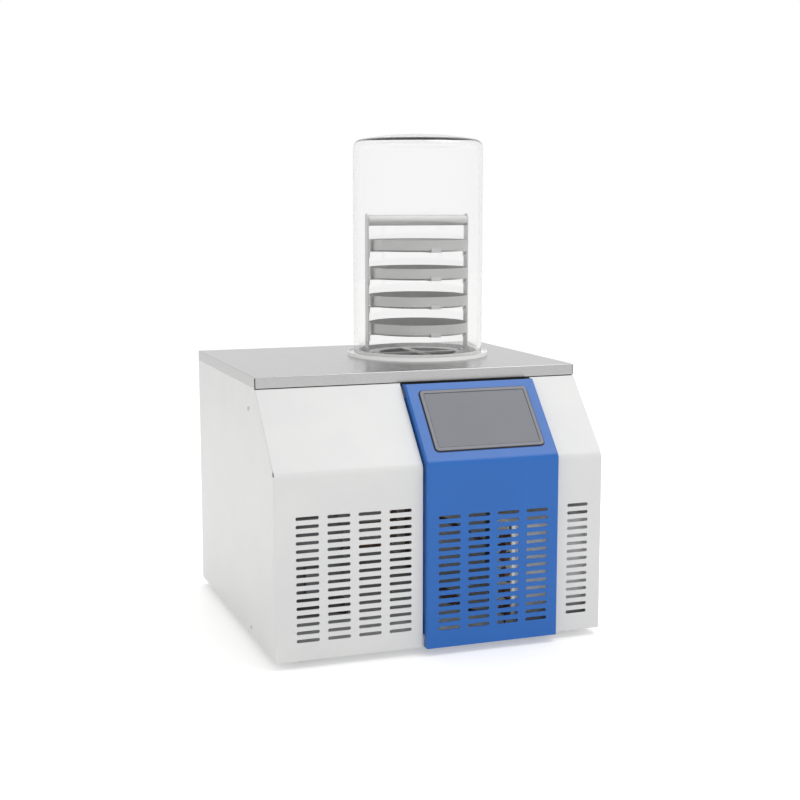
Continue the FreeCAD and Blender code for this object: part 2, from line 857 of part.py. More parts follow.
def rear_panel():
    """The flat back sheet, with holes for the services and louvre slots beside the compressor."""
    body = new_body("rear_panel")
    flat = new_sketch(body, "XZ", "-panel_face")
    rectangle(flat, "-half_width", "0", "half_width", "shell_top")
    pad(body, flat, "sheet_wall")
    holes = new_sketch(body, "XZ", "-panel_face")
    circle(holes, "port_radius + hole_fit", "chamber_x", "body_height - port_drop")
    circle(holes, "drain_radius + hole_fit", "vent_x", "body_height - port_drop")
    circle(holes, "drain_radius + hole_fit", "chamber_x", "drain_height")
    for x, half in (("inlet_x", "socket_width / 2"), ("outlet_x", "socket_width / 2")):
        low, high = "socket_z - socket_height / 2", "socket_z + socket_height / 2"
        rectangle(holes, f"{x} - {half}", low, f"{x} + {half}", high)
    rectangle(
        holes,
        "switch_x - switch_width / 2",
        "socket_z - switch_height / 2",
        "switch_x + switch_width / 2",
        "socket_z + switch_height / 2",
    )
    for x in REAR_SCREW_X:
        for z in REAR_SCREW_Z:
            octagon(holes, "screw_radius + hole_fit / 2", x, z)
    pocket(body, holes, "sheet_wall * 2")
    louvre = new_sketch(body, "XZ", "-panel_face")
    slot(louvre, "compressor_x", "rear_slot_z", "rear_slot_length", "slot_height")
    first = pocket(body, louvre, "sheet_wall * 2")
    grid(body, first, louvre, "1", "column_pitch", "rear_slot_rows", "slot_pitch")


def base_pan():
    """The folded floor tray that carries the machinery and the feet."""
    body = new_body("base_pan")
    inner_half = "half_width - sheet_wall"
    back = "wall_back - sheet_wall"
    block = new_sketch(body, "XY", "sheet_wall")
    rectangle(block, f"-({inner_half})", "sheet_wall", inner_half, back)
    pad(body, block, "pan_lip")
    hollow = new_sketch(body, "XY", "sheet_wall + pan_lip")
    inset = f"{inner_half} - pan_wall"
    rectangle(hollow, f"-({inset})", "sheet_wall + pan_wall", inset, f"{back} - pan_wall")
    pocket(body, hollow, "pan_lip - pan_wall")
    holes = new_sketch(body, "YZ")
    octagon(holes, "screw_radius + hole_fit / 2", "lower_screw_y", "lower_screw_z")
    pocket(body, holes, "body_width")


def feet():
    cones = []
    for x in ("foot_inset - half_width", "half_width - foot_inset"):
        for y in ("foot_inset", "body_depth - foot_inset"):
            cone = doc.addObject("Part::Cone", "foot")
            bind(cone, "Radius1", "foot_radius")
            bind(cone, "Radius2", "foot_top_radius")
            bind(cone, "Height", "foot_height + sheet_wall")
            place(cone, x, y, "-foot_height")
            cones.append(cone)
    group("feet", cones)


def screen():
    """The touch screen: a raised frame through the cover, a sunk glass and a closed housing behind."""
    bezel = new_body("screen_bezel")
    on_slope(bezel, "screen_below_plate", "Placement", "front_y", "foot_height")
    bind(bezel, "Placement.Base.x", "cover_centre")
    rim = new_sketch(bezel, "XY")
    half_x, half_y = "screen_width / 2", "screen_height / 2"
    rectangle(rim, f"-{half_x}", f"-{half_y}", half_x, half_y, "screen_corner")
    pad(bezel, rim, "screen_proud")
    collar = new_sketch(bezel, "XY", "-collar_depth")
    outer_x, outer_y = "(glass_half_x - sheet_fit)", "(glass_half_y - sheet_fit)"
    rectangle(collar, f"-{outer_x}", f"-{outer_y}", outer_x, outer_y)
    pad(bezel, collar, "collar_depth + screen_proud / 2")
    seat = new_sketch(bezel, "XY", "screen_proud")
    rectangle(seat, "-glass_half_x", "-glass_half_y", "glass_half_x", "glass_half_y", "glass_corner")
    pocket(bezel, seat, "glass_sunk + glass_wall")
    opening = new_sketch(bezel, "XY")
    inner_x, inner_y = "(glass_half_x - collar_wall)", "(glass_half_y - collar_wall)"
    rectangle(opening, f"-{inner_x}", f"-{inner_y}", inner_x, inner_y)
    pocket(bezel, opening, "collar_depth * 2")

    glass = new_body("screen_glass")
    on_slope(glass, "screen_below_plate", "Placement", "front_y", "foot_height")
    bind(glass, "Placement.Base.x", "cover_centre")
    pane = new_sketch(glass, "XY", "screen_proud - glass_sunk - glass_wall")
    fit_x, fit_y = "(glass_half_x - glass_fit)", "(glass_half_y - glass_fit)"
    rectangle(pane, f"-{fit_x}", f"-{fit_y}", fit_x, fit_y, "glass_corner")
    pad(glass, pane, "glass_wall")

    housing = new_body("screen_housing")
    on_slope(housing, "screen_below_plate", "Placement", "front_y", "foot_height")
    bind(housing, "Placement.Base.x", "cover_centre")
    case = new_sketch(housing, "XY", "-(collar_depth + housing_depth)")
    rectangle(case, f"-{outer_x}", f"-{outer_y}", outer_x, outer_y, "glass_corner")
    pad(housing, case, "housing_depth")


# The chamber and cold trap.


def round_body(label, corners, z="body_height"):
    """A turned piece on the chamber's axis; heights count from the given level."""
    body = new_body(label, "chamber_x", "chamber_y", z)
    revolve(body, corners)
    return body


def chamber():
    """The clear bell with its shallow domed top, and the ring seal that it stands in."""
    top = "seal_floor + chamber_height"
    inner = "chamber_radius - chamber_wall"
    lid = f"{top} - chamber_lid"
    knee = "chamber_radius / 2"
    slant = f"atan(chamber_dome / ({knee}))"
    dome = f"({knee} - chamber_wall - chamber_crown) / tan({slant} / 2)"
    round_body(
        "drying_chamber",
        [
            (inner, "seal_floor"),
            ("chamber_radius", "seal_floor"),
            ("chamber_radius", f"{top} - chamber_dome", "chamber_crown"),
            (knee, top, dome),
            ("0", top),
            ("0", lid),
            (knee, lid),
            (inner, f"{lid} - chamber_dome * (1 - chamber_wall / ({knee}))"),
        ],
    )
    bead_top = "seal_floor + seal_bead_rise"
    lip_top = "seal_floor + seal_lip_rise"
    skirt = "trap_flange + seal_fit"
    round_body(
        "chamber_seal",
        [
            (skirt, "0"),
            ("seal_radius", "0"),
            ("seal_radius", bead_top),
            ("seal_radius - seal_bead", bead_top),
            ("seal_radius - seal_bead", "seal_floor"),
            ("seal_lip_radius", "seal_floor"),
            ("seal_lip_radius", lip_top),
            ("seal_lip_radius - seal_lip", lip_top),
            ("seal_lip_radius - seal_lip", "trap_flange_wall"),
            (skirt, "trap_flange_wall"),
        ],
    )


def cold_trap():
    """The deep-drawn pot with its flange and welded nozzles, and the foam moulded round it."""
    pot = round_body(
        "cold_trap",
        [
            ("0", "-trap_depth"),
            ("0", "-(trap_depth + trap_wall)"),
            ("trap_outer - trap_corner", "-(trap_depth + trap_wall)"),
            ("trap_outer", "-(trap_depth + trap_wall - trap_corner)"),
            ("trap_outer", "0"),
            ("trap_flange", "0"),
            ("trap_flange", "trap_flange_wall"),
            ("trap_radius", "trap_flange_wall"),
            ("trap_radius", "-(trap_depth - trap_corner)"),
            ("trap_radius - trap_corner", "-trap_depth"),
        ],
    )
    vent_side = "vent_x - chamber_x"
    vent_start = f"sqrt(trap_radius ^ 2 - ({vent_side}) ^ 2) - run_in"
    rod(pot, "port_radius", "trap_radius - run_in", "nozzle_end", "0", "-port_drop")
    rod(pot, "drain_radius", vent_start, "nozzle_end", vent_side, "-port_drop")
    well = new_sketch(pot, "XY")
    circle(well, "trap_radius")
    pocket(pot, well, "trap_depth - trap_corner - run_in")
    bore(pot, "port_radius - nozzle_wall", "trap_radius - run_in * 2", "nozzle_end", "0", "-port_drop")
    bore(pot, "drain_bore", vent_start, "nozzle_end", vent_side, "-port_drop")
    spigot = new_sketch(pot, "XY", "-nozzle_bottom")
    circle(spigot, "drain_radius")
    pad(pot, spigot, "nozzle_bottom - trap_depth - trap_wall / 2")
    drain = new_sketch(pot, "XY", "-nozzle_bottom")
    circle(drain, "drain_bore")
    pocket(pot, drain, "nozzle_bottom - trap_depth + trap_wall")

    foam = round_body(
        "trap_insulation",
        [
            ("0", "-trap_bottom"),
            ("0", "-(trap_bottom + foam_floor)"),
            ("foam_outer", "-(trap_bottom + foam_floor)"),
            ("foam_outer", "-plate_wall"),
            ("foam_inner", "-plate_wall"),
            ("foam_inner", "-trap_bottom"),
        ],
    )
    ports = new_sketch(foam, "XZ", "-(foam_inner + foam_outer) / 2")
    circle(ports, "port_radius + hole_fit", "0", "-port_drop")
    circle(ports, "drain_radius + hole_fit", "vent_x - chamber_x", "-port_drop")
    pocket(foam, ports, "foam_wall")
    drain = new_sketch(foam, "XY", "-trap_bottom - foam_floor")
    circle(drain, "drain_radius + hole_fit")
    pocket(foam, drain, "foam_floor + run_in")


def evaporator():
    """The double-walled refrigerant jacket welded round the pot, below the pump's nozzle."""
    outer = "trap_outer + jacket_wall"
    low, high = "-(trap_depth - trap_corner)", "-jacket_top"
    corners = [("trap_outer", low), (outer, low), (outer, high), ("trap_outer", high)]
    round_body("evaporator_jacket", corners)


# The rack and trays.


def rack():
    """The ring and cross at the foot, the two uprights and the tube handle between them."""
    ring = [
        ("rack_hole", "0"),
        ("rack_radius", "0"),
        ("rack_radius", "rack_plate"),
        ("rack_hole", "rack_plate"),
    ]
    base = round_body("rack_base", ring, "rack_floor")
    reach = "(rack_hole + rack_radius) / 2"
    bars = new_sketch(base, "XY")
    rectangle(bars, f"-{reach}", "-rack_bar / 2", reach, "rack_bar / 2")
    pad(base, bars, "rack_plate")
    bars = new_sketch(base, "XY")
    rectangle(bars, "-rack_bar / 2", f"-{reach}", "rack_bar / 2", reach)
    pad(base, bars, "rack_plate")

    for side in ("left", "right"):
        upright(side)

    handle = new_body("rack_handle", "chamber_x", "chamber_y", "body_height")
    ring = new_sketch(handle, "YZ", "-upright_face")
    circle(ring, "handle_radius", "0", "handle_height")
    circle(ring, "handle_radius - handle_wall", "0", "handle_height")
    pad(handle, ring, "2 * upright_face")


def upright(side):
    """A flat side strip with a rounded head, a foot turned in over the base, and the shelf holes."""
    left = side == "left"
    body = new_body(f"rack_upright_{side}", "chamber_x", "chamber_y", "body_height")
    low = "trap_flange_wall + rack_plate"
    strip = new_sketch(body, "YZ", "-(upright_face + upright_wall)" if left else "upright_face")
    half, head = "upright_width / 2", "upright_head"
    outline(
        strip,
        [(f"-{half}", low), (half, low), (half, "upright_top", head), (f"-{half}", "upright_top", head)],
    )
    pad(body, strip, "upright_wall")
    foot = new_sketch(body, "XY", low)
    if left:
        rectangle(foot, "-upright_face - upright_wall / 2", f"-{half}", "upright_foot - upright_face", half)
    else:
        rectangle(foot, "upright_face - upright_foot", f"-{half}", "upright_face + upright_wall / 2", half)
    pad(body, foot, "upright_wall")
    holes = new_sketch(body, "YZ", "-upright_face" if left else "upright_face")
    octagon(holes, "rack_screw_radius + hole_fit / 4", "0", "tray_first - support_wall - support_ear / 2")
    hole = pocket(body, holes, "upright_wall * 1.5")
    grid(body, hole, holes, "1", "tray_pitch", "tray_count", "tray_pitch")


def shelf(index):
    """A cross-shaped tray support with two upturned lips and two ears screwed to the uprights."""
    level = f"body_height + tray_first + {index} * tray_pitch"
    body = new_body(f"shelf_support_{index + 1}", "chamber_x", "chamber_y", f"{level} - support_wall")
    half = "support_width / 2"
    lip_face = "tray_radius + sheet_fit"
    bar = new_sketch(body, "XY")
    rectangle(bar, "-upright_face", f"-{half}", "upright_face", half)
    pad(body, bar, "support_wall")
    bar = new_sketch(body, "XY")
    rectangle(bar, f"-{half}", f"-({lip_face} + support_wall)", half, f"{lip_face} + support_wall")
    pad(body, bar, "support_wall")
    lips = new_sketch(body, "XY")
    rectangle(lips, f"-{half}", lip_face, half, f"{lip_face} + support_wall")
    rectangle(lips, f"-{half}", f"-({lip_face} + support_wall)", half, f"-({lip_face})")
    pad(body, lips, "support_wall + support_lip")
    ears = new_sketch(body, "XY", "-support_ear")
    rectangle(ears, "-upright_face", f"-{half}", "support_wall - upright_face", half)
    rectangle(ears, "upright_face - support_wall", f"-{half}", "upright_face", half)
    pad(body, ears, "support_ear + support_wall / 2")
    holes = new_sketch(body, "YZ")
    octagon(holes, "rack_screw_radius + hole_fit / 4", "0", "-support_ear / 2")
    pocket(body, holes, "upright_face + run_in")

    tray = new_body(f"tray_{index + 1}", "chamber_x", "chamber_y", level)
    inner = "tray_radius - tray_wall"
    revolve(
        tray,
        [
            ("0", "0"),
            ("tray_radius - tray_corner", "0"),
            ("tray_radius", "tray_corner"),
            ("tray_radius", "tray_height"),
            (inner, "tray_height"),
            (inner, "tray_corner"),
            (f"{inner} - tray_corner", "tray_wall"),
            ("0", "tray_wall"),
        ],
    )


def prism(name, radius, height, z="0"):
    """An eight-sided rod, for what is too small to be worth a round one."""
    item = doc.addObject("Part::Prism", name)
    item.Polygon = 8
    bind(item, "Circumradius", radius)
    bind(item, "Height", height)
    bind(item, "Placement.Base.z", z)
    return item


def screw(name, radius, head_radius, head_depth, length):
    """A screw whose head stands above its own z = 0 and whose shank runs below it."""
    head = prism(f"{name}_head", head_radius, head_depth)
    shank = prism(f"{name}_shank", radius, f"({length}) + ({head_depth}) / 2", f"-({length})")
    return union(name, [head, shank])


def rack_screws():
    screws = []
    length = "support_wall + upright_wall"
    for index in range(round(value("tray_count"))):
        z = f"body_height + tray_first + {index} * tray_pitch - support_wall - support_ear / 2"
        for sign in (-1, 1):
            item = screw("rack_screw", "rack_screw_radius", "rack_screw_head", "rack_screw_radius", length)
            x = f"chamber_x + {sign} * (upright_face - support_wall)"
            place(item, x, "chamber_y", z)
            item.Placement.Rotation = Rotation(Vector(0, 1, 0), -90 * sign)
            screws.append(item)
    group("rack_screws", screws)


# The refrigeration.


def compressor():
    """The sealed motor-compressor: shell, foot plate, terminal cover and two pipe stubs."""
    body = new_body("compressor", "compressor_x", "compressor_y", "pan_floor + mount_height")
    seam = "compressor_seam_rise"
    revolve(
        body,
        [
            ("0", "compressor_foot_wall"),
            ("compressor_radius - compressor_sump", "compressor_foot_wall"),
            ("compressor_radius", "compressor_foot_wall + compressor_sump"),
            ("compressor_radius", seam),
            ("compressor_radius + compressor_seam", seam),
            ("compressor_radius + compressor_seam", f"{seam} + compressor_seam"),
            ("compressor_radius", f"{seam} + compressor_seam"),
            ("compressor_radius", "compressor_height - compressor_dome"),
            ("compressor_radius - compressor_shoulder", "compressor_height - compressor_shoulder"),
            ("compressor_radius - compressor_dome", "compressor_height"),
            ("0", "compressor_height"),
        ],
    )
    half = "compressor_foot / 2"
    slab(body, "XY", "0", f"-{half}", f"-{half}", half, half, "compressor_foot_wall")
    half, low = "terminal_width / 2", "terminal_rise"
    start, reach = "compressor_radius / 2", "compressor_radius / 2 + terminal_proud"
    slab(body, "XZ", start, f"-{half}", low, half, f"{low} + terminal_height", reach)
    inside = "(compressor_radius - run_in * 2)"
    for radius, y, z in PIPE_STUBS:
        stub = new_sketch(body, "YZ", inside)
        octagon(stub, f"{radius} + stub_wall", f"{y} - compressor_y", f"{z} - pan_floor - mount_height")
        pad(body, stub, f"stub_reach - {inside}")
    holes = new_sketch(body, "XY")
    for x in (-1, 1):
        for y in (-1, 1):
            octagon(holes, "mount_neck", f"{x} * mount_spread", f"{y} * mount_spread")
    pocket(body, holes, "compressor_foot_wall * 2")


PIPE_STUBS = (
    ("pipe_radius", "discharge_y", "discharge_z"),
    ("suction_radius", "suction_y", "suction_z"),
)


def compressor_mounts():
    """Four rubber feet that the plate is buttoned on to."""
    mounts = []
    for x in (-1, 1):
        for y in (-1, 1):
            neck_top = "mount_height + compressor_foot_wall * 2"
            pad_part = cylinder("mount_pad", "mount_radius", "mount_height")
            neck = prism("mount_neck", "mount_neck - hole_fit / 2", neck_top)
            mount = union("mount", [pad_part, neck])
            mount_x = f"compressor_x + {x} * mount_spread"
            place(mount, mount_x, f"compressor_y + {y} * mount_spread", "pan_floor")
            mounts.append(mount)
    group("compressor_mounts", mounts)


def condenser():
    """The finned heat exchanger behind the front slots, with its cowl, fan and motor."""
    block = new_body("condenser", "condenser_x", "condenser_y", "pan_floor")
    half = "condenser_width / 2"
    web_front, web_back = "condenser_depth / 2 - fin_wall", "condenser_depth / 2 + fin_wall"
    slab(block, "XY", "0", f"-{half}", web_front, half, web_back, "condenser_height")
    for left in (f"-{half}", f"{half} - end_wall"):
        slab(block, "XY", "0", left, "0", f"{left} + end_wall", "condenser_depth", "condenser_height")
    fin = new_sketch(block, "XY", "fin_wall")
    first = f"-{half} + end_wall + fin_gap"
    rectangle(fin, first, "fin_wall", f"{first} + fin_wall", "condenser_depth - fin_wall")
    comb = pad(block, fin, "condenser_height - 2 * fin_wall")
    grid(block, comb, fin, "fin_count", "(fin_gap + fin_wall)", "1", "1")

    cowl = new_body("fan_shroud", "condenser_x", "condenser_back", "fan_axis")
    half_z = "condenser_height / 2"
    slab(cowl, "XZ", "-shroud_depth", f"-{half}", f"-{half_z}", half, half_z, "shroud_depth")
    hollow = new_sketch(cowl, "XZ")
    edge_x, edge_z = f"({half} - shroud_wall)", f"({half_z} - shroud_wall)"
    rectangle(hollow, f"-{edge_x}", f"-{edge_z}", edge_x, edge_z)
    pocket(cowl, hollow, "shroud_depth - shroud_wall")
    bore(cowl, "fan_radius + fan_tip_gap", "shroud_depth - shroud_wall * 2", "shroud_depth + shroud_wall")
    reach = "(fan_radius + fan_tip_gap + shroud_wall)"
    start = "-shroud_depth"
    slab(cowl, "XZ", start, f"-{reach}", "-arm_width / 2", reach, "arm_width / 2", "shroud_wall")
    slab(cowl, "XZ", start, "-arm_width / 2", f"-{reach}", "arm_width / 2", reach, "shroud_wall")
    bore(cowl, "shaft_radius * 2", "shroud_depth - shroud_wall * 2", "shroud_depth + shroud_wall")

    motor = new_body("fan_motor", "condenser_x", "shroud_back", "fan_axis")
    rod(motor, "motor_radius", "0", "motor_length")
    rod(motor, "motor_boss_radius", "motor_length", "motor_length + motor_boss")
    rod(motor, "shaft_radius", "shaft_set - shroud_wall - fan_back_gap - fan_hub_depth", "motor_length / 2")

    rotor_back = "shroud_back - shroud_wall - fan_back_gap"
    rotor = new_body("fan_rotor", "condenser_x", rotor_back, "fan_axis")
    rod(rotor, "fan_hub", "-fan_hub_depth", "0")
    chord = "blade_chord / 2"
    blade = new_sketch(rotor, "XY", "fan_hub - blade_root")
    outline(
        blade,
        [
            (f"-{chord}", "-blade_rise"),
            ("0", "blade_bow - blade_rise", "blade_curve"),
            (chord, "-blade_wall"),
            (chord, "0"),
            ("0", "blade_bow - blade_rise + blade_wall", "blade_curve - blade_wall"),
            (f"-{chord}", "blade_wall - blade_rise"),
        ],
    )
    swept = pad(rotor, blade, "fan_radius - fan_hub + blade_root + blade_wall")
    axis = new_sketch(rotor, "XZ")
    circle(axis, "fan_radius")
    circle(axis, "fan_radius + blade_chord")
    fan = rotor.newObject("PartDesign::PolarPattern", "fan_blades")
    fan.Originals = [swept]
    fan.Axis = (axis, ["N_Axis"])
    fan.Angle = 360
    bind(fan, "Occurrences", "blade_count")
    rotor.Tip = fan
    pocket(rotor, axis, "blade_rise * 2")
    bore(rotor, "shaft_radius + running_gap", "-fan_hub_depth", "fan_hub_depth / 2")


def pipes():
    """The refrigerant lines and the drier between the condenser and the cold trap."""
    line = new_body("discharge_pipe", "0", "0", "discharge_z")
    start = "compressor_x + stub_reach"
    entry_y = "condenser_y + condenser_depth / 2"
    entry_x = "condenser_x - condenser_width / 2"
    corners = [
        (start, "discharge_y"),
        ("discharge_x", "discharge_y", "pipe_bend"),
        ("discharge_x", entry_y, "pipe_bend"),
        (entry_x, entry_y),
    ]
    bent_tube(line, "XY", corners, "pipe_radius", "YZ", start, "discharge_y", "0")

    line = new_body("suction_pipe", "0", "suction_y")
    foam_bottom = "body_height - trap_bottom - foam_floor"
    corners = [
        (start, "suction_z"),
        ("suction_x", "suction_z", "pipe_bend"),
        ("suction_x", foam_bottom),
    ]
    bent_tube(line, "XZ", corners, "suction_radius", "YZ", start, "0", "suction_z")

    line = new_body("liquid_pipe", "0", "0", "drier_z")
    corners = [(entry_x, entry_y), ("drier_x", entry_y, "pipe_bend"), ("drier_x", "drier_y")]
    bent_tube(line, "XY", corners, "pipe_radius", "YZ", entry_x, entry_y, "0")

    drier = new_body("filter_drier", "drier_x", "drier_y", "drier_z")
    rod(drier, "pipe_radius + stub_wall", "0", "drier_length")
    rod(drier, "drier_radius", "drier_neck", "drier_length - drier_neck")

    line = new_body("trap_feed_pipe", "drier_x")
    corners = [
        ("drier_y + drier_length", "drier_z"),
        ("chamber_y", "drier_z", "pipe_bend"),
        ("chamber_y", foam_bottom),
    ]
    bent_tube(line, "YZ", corners, "pipe_radius", "XZ", "-(drier_y + drier_length)", "0", "drier_z")


def electrical_box():
    """The closed control box on the floor tray, behind the power sockets."""
    body = new_body("electrical_box", "box_x", "box_y", "pan_floor")
    half = "box_width / 2"
    slab(body, "XY", "0", f"-{half}", "0", half, "box_depth", "box_height")
    lid, back = f"({half} + pan_wall)", "box_depth + pan_wall"
    slab(body, "XY", "box_height - pan_lip", f"-{lid}", "-pan_wall", lid, back, "pan_lip + pan_wall")


def frame_posts():
    """Angle posts that stand on the floor tray's side lips and brace the shells' top returns."""
    for side, sign in (("left", -1), ("right", 1)):
        body = new_body(f"frame_post_{side}")
        outer = f"{sign} * (half_width - sheet_wall)"
        inner = f"{sign} * (half_width - sheet_wall - post_width)"
        web = f"{sign} * (half_width - sheet_wall - post_wall)"
        left, right = (outer, inner) if sign < 0 else (inner, outer)
        web_left, web_right = (outer, web) if sign < 0 else (web, outer)
        low, high = "sheet_wall + pan_lip", "shell_top - sheet_wall"
        slab(body, "XY", low, left, "post_y", right, "post_y + post_wall", f"{high} - ({low})")
        slab(body, "XY", low, web_left, "post_y", web_right, "post_y + post_width", f"{high} - ({low})")
        holes = new_sketch(body, "YZ", outer)
        octagon(holes, "screw_radius + hole_fit / 2", "upper_screw_y", "upper_screw_z")
        pocket(body, holes, "post_wall * 2")


# The services at the back.


def vacuum_port():
    """The flanged stub that a vacuum pump's hose clamps on to."""
    start = "chamber_y + nozzle_end"
    end = "body_depth + port_reach"
    body = new_body("vacuum_port", "chamber_x", "0", "body_height - port_drop")
    rod(body, "port_radius", start, end)
    rod(body, "port_flange", f"{end} - port_flange_wall", end)
    bore(body, "port_bore", start, end)


def drain():
    """The drain line from under the trap, its valve with a barbed spout, and the lever."""
    tube = new_body("drain_tube", "chamber_x")
    top = "body_height - nozzle_bottom"
    valve = "(panel_face + valve_gap)"
    corners = [("chamber_y", top), ("chamber_y", "drain_height", "pipe_bend"), (valve, "drain_height")]
    bent_tube(tube, "YZ", corners, "drain_radius", "XY", top, "0", "chamber_y")

    body = new_body("drain_valve", "chamber_x", valve, "drain_height")
    end = "(body_depth + drain_reach - panel_face - valve_gap)"
    valve_end = f"({end} - barb_length)"
    rod(body, "valve_radius", "0", valve_end)
    rod(body, "drain_radius", valve_end, end)
    for step in (1, 3):
        ring = f"({valve_end} + barb_ring * {step})"
        rod(body, "drain_radius + barb_proud", ring, f"{ring} + barb_ring")
    neck = new_sketch(body, "XY")
    circle(neck, "stem_radius * 2", "0", f"{valve_end} / 2")
    pad(body, neck, "valve_radius + stem_radius")
    bore(body, "drain_bore", "0", end)
    seat = new_sketch(body, "XY", "valve_radius + stem_radius")
    circle(seat, "stem_radius + running_gap", "0", f"{valve_end} / 2")
    pocket(body, seat, "stem_radius * 2")

    lever = new_body("drain_lever", "chamber_x", f"{valve} + {valve_end} / 2", "drain_height")
    stem = new_sketch(lever, "XY", "valve_radius - stem_radius / 2")
    circle(stem, "stem_radius")
    pad(lever, stem, "stem_radius * 2 + lever_wall / 2")
    blade = new_sketch(lever, "XY", "valve_radius + stem_radius + lever_gap")
    half = "lever_width / 2"
    rectangle(blade, f"-{half}", f"-{half}", "lever_length", half, "lever_corner")
    pad(lever, blade, "lever_wall")


def vent():
    """The air-admittance valve beside the pump port, and its knob."""
    body = new_body("vent_valve", "vent_x", "0", "body_height - port_drop")
    start = "chamber_y + nozzle_end"
    valve, face = "(panel_face + valve_gap)", "(panel_face + valve_gap + vent_body)"
    rod(body, "drain_radius", start, valve)
    rod(body, "valve_radius", valve, face)
    spout = new_sketch(body, "XY", "-(valve_radius + vent_spout)")
    circle(spout, "drain_radius", "0", f"{valve} + vent_body / 2")
    pad(body, spout, "valve_radius + vent_spout")
    bore(body, "drain_bore", start, f"{valve} + vent_body / 2")
    mouth = new_sketch(body, "XY", "-(valve_radius + vent_spout)")
    circle(mouth, "drain_bore", "0", f"{valve} + vent_body / 2")
    pocket(body, mouth, "valve_radius + vent_spout")
    bore(body, "stem_radius + running_gap", f"{face} - stem_radius * 2", f"{face} + stem_radius")

    knob = new_body("vent_knob", "vent_x", face, "body_height - port_drop")
    rod(knob, "knob_radius", "knob_gap", "knob_base")
    half, depth = "knob_grip / 2", "knob_length - knob_base / 2"
    slab(knob, "XZ", "-knob_length", f"-{half}", "-knob_radius", half, "knob_radius", depth)
    rod(knob, "stem_radius", "-stem_depth", "knob_base / 2")


def socket_body(label, x):
    """A panel socket: block through the panel and a flange on the outside."""
    body = new_body(label, x, "panel_face", "socket_z")
    half_x, half_z = "(socket_width / 2 - hole_fit)", "(socket_height / 2 - hole_fit)"
    flange_x, flange_z = "(socket_width / 2 + socket_flange)", "(socket_height / 2 + socket_skin)"
    slab(body, "XZ", "0", f"-{half_x}", f"-{half_z}", half_x, half_z, "socket_depth + socket_skin")
    wall = "socket_flange_wall"
    slab(body, "XZ", f"-{wall}", f"-{flange_x}", f"-{flange_z}", flange_x, flange_z, wall, "socket_skin")
    return body


def sockets():
    """The mains inlet with its three pins, and the outlet that feeds the pump."""
    inlet = socket_body("power_inlet", "inlet_x")
    recess = new_sketch(inlet, "XZ", "-socket_flange_wall")
    half_x = "(socket_width / 2 - hole_fit - socket_skin)"
    half_z = "(socket_height / 2 - hole_fit - socket_skin)"
    bevel = "socket_height / 4"
    corners = [
        (f"-{half_x}", f"-{half_z}"),
        (half_x, f"-{half_z}"),
        (half_x, f"{half_z} - {bevel}"),
        (f"{half_x} - {bevel}", half_z),
        (f"{bevel} - {half_x}", half_z),
        (f"-{half_x}", f"{half_z} - {bevel}"),
    ]
    outline(recess, corners)
    pocket(inlet, recess, "socket_depth + socket_flange_wall")
    for x, z in PIN_SPOTS:
        left, low = f"{x} * pin_spread - pin_wall / 2", f"{z} * pin_rise - pin_height / 2"
        right, high = f"{left} + pin_wall", f"{low} + pin_height"
        tip = "socket_depth - pin_length"
        slab(inlet, "XZ", tip, left, low, right, high, "pin_length + socket_skin / 2")

    outlet = socket_body("pump_outlet", "outlet_x")
    slots = new_sketch(outlet, "XZ", "-socket_flange_wall")
    for x, z in PIN_SPOTS:
        left, low = f"{x} * pin_spread - pin_wall", f"{z} * pin_rise - outlet_slot / 2"
        rectangle(slots, left, low, f"{left} + pin_wall * 2", f"{low} + outlet_slot")
    pocket(outlet, slots, "pin_length")


PIN_SPOTS = ((-1, -1), (0, 1), (1, -1))


def switch():
    """The main switch: a snap-in frame and the rocker that tips in it."""
    frame = new_body("switch_frame", "switch_x", "panel_face", "socket_z")
    half_x, half_z = "(switch_width / 2 - hole_fit)", "(switch_height / 2 - hole_fit)"
    slab(frame, "XZ", "0", f"-{half_x}", f"-{half_z}", half_x, half_z, "socket_depth")
    rim_x, rim_z = "(switch_width / 2 + socket_skin)", "(switch_height / 2 + socket_skin)"
    slab(frame, "XZ", "-socket_flange_wall", f"-{rim_x}", f"-{rim_z}", rim_x, rim_z, "socket_flange_wall")
    well = new_sketch(frame, "XZ", "-socket_flange_wall")
    well_x, well_z = f"({half_x} - switch_wall)", f"({half_z} - switch_wall)"
    rectangle(well, f"-{well_x}", f"-{well_z}", well_x, well_z)
    pocket(frame, well, "switch_well")
    trunnions = new_sketch(frame, "YZ")
    circle(trunnions, "pivot_radius + running_gap", "0", "0")
    pocket(frame, trunnions, f"{well_x} + pivot_length")

    rocker = new_body("switch_rocker", "switch_x", "panel_face", "socket_z")
    rocker.Placement.Rotation = Rotation(Vector(1, 0, 0), 10)
    bind(rocker, "Placement.Rotation.Angle", "switch_swing / 2")
    tip_x = f"({well_x} - switch_play)"
    tip_z = f"({well_z} - switch_play)"
    face = new_sketch(rocker, "YZ", f"-{tip_x}")
    dip, crest = "socket_flange_wall", "socket_flange_wall + rocker_rise"
    outline(
        face,
        [
            ("-rocker_rise", f"-{tip_z}"),
            (crest, f"-{tip_z}"),
            (dip, "0"),
            (crest, tip_z),
            ("-rocker_rise", tip_z),
            ("-rocker_rise * 2", "0"),
        ],
    )
    pad(rocker, face, f"2 * {tip_x}")
    pin_end = f"({well_x} + pivot_length - pivot_play)"
    pins = new_sketch(rocker, "YZ", f"-{pin_end}")
    circle(pins, "pivot_radius", "0", "0")
    pad(rocker, pins, f"2 * {pin_end}")


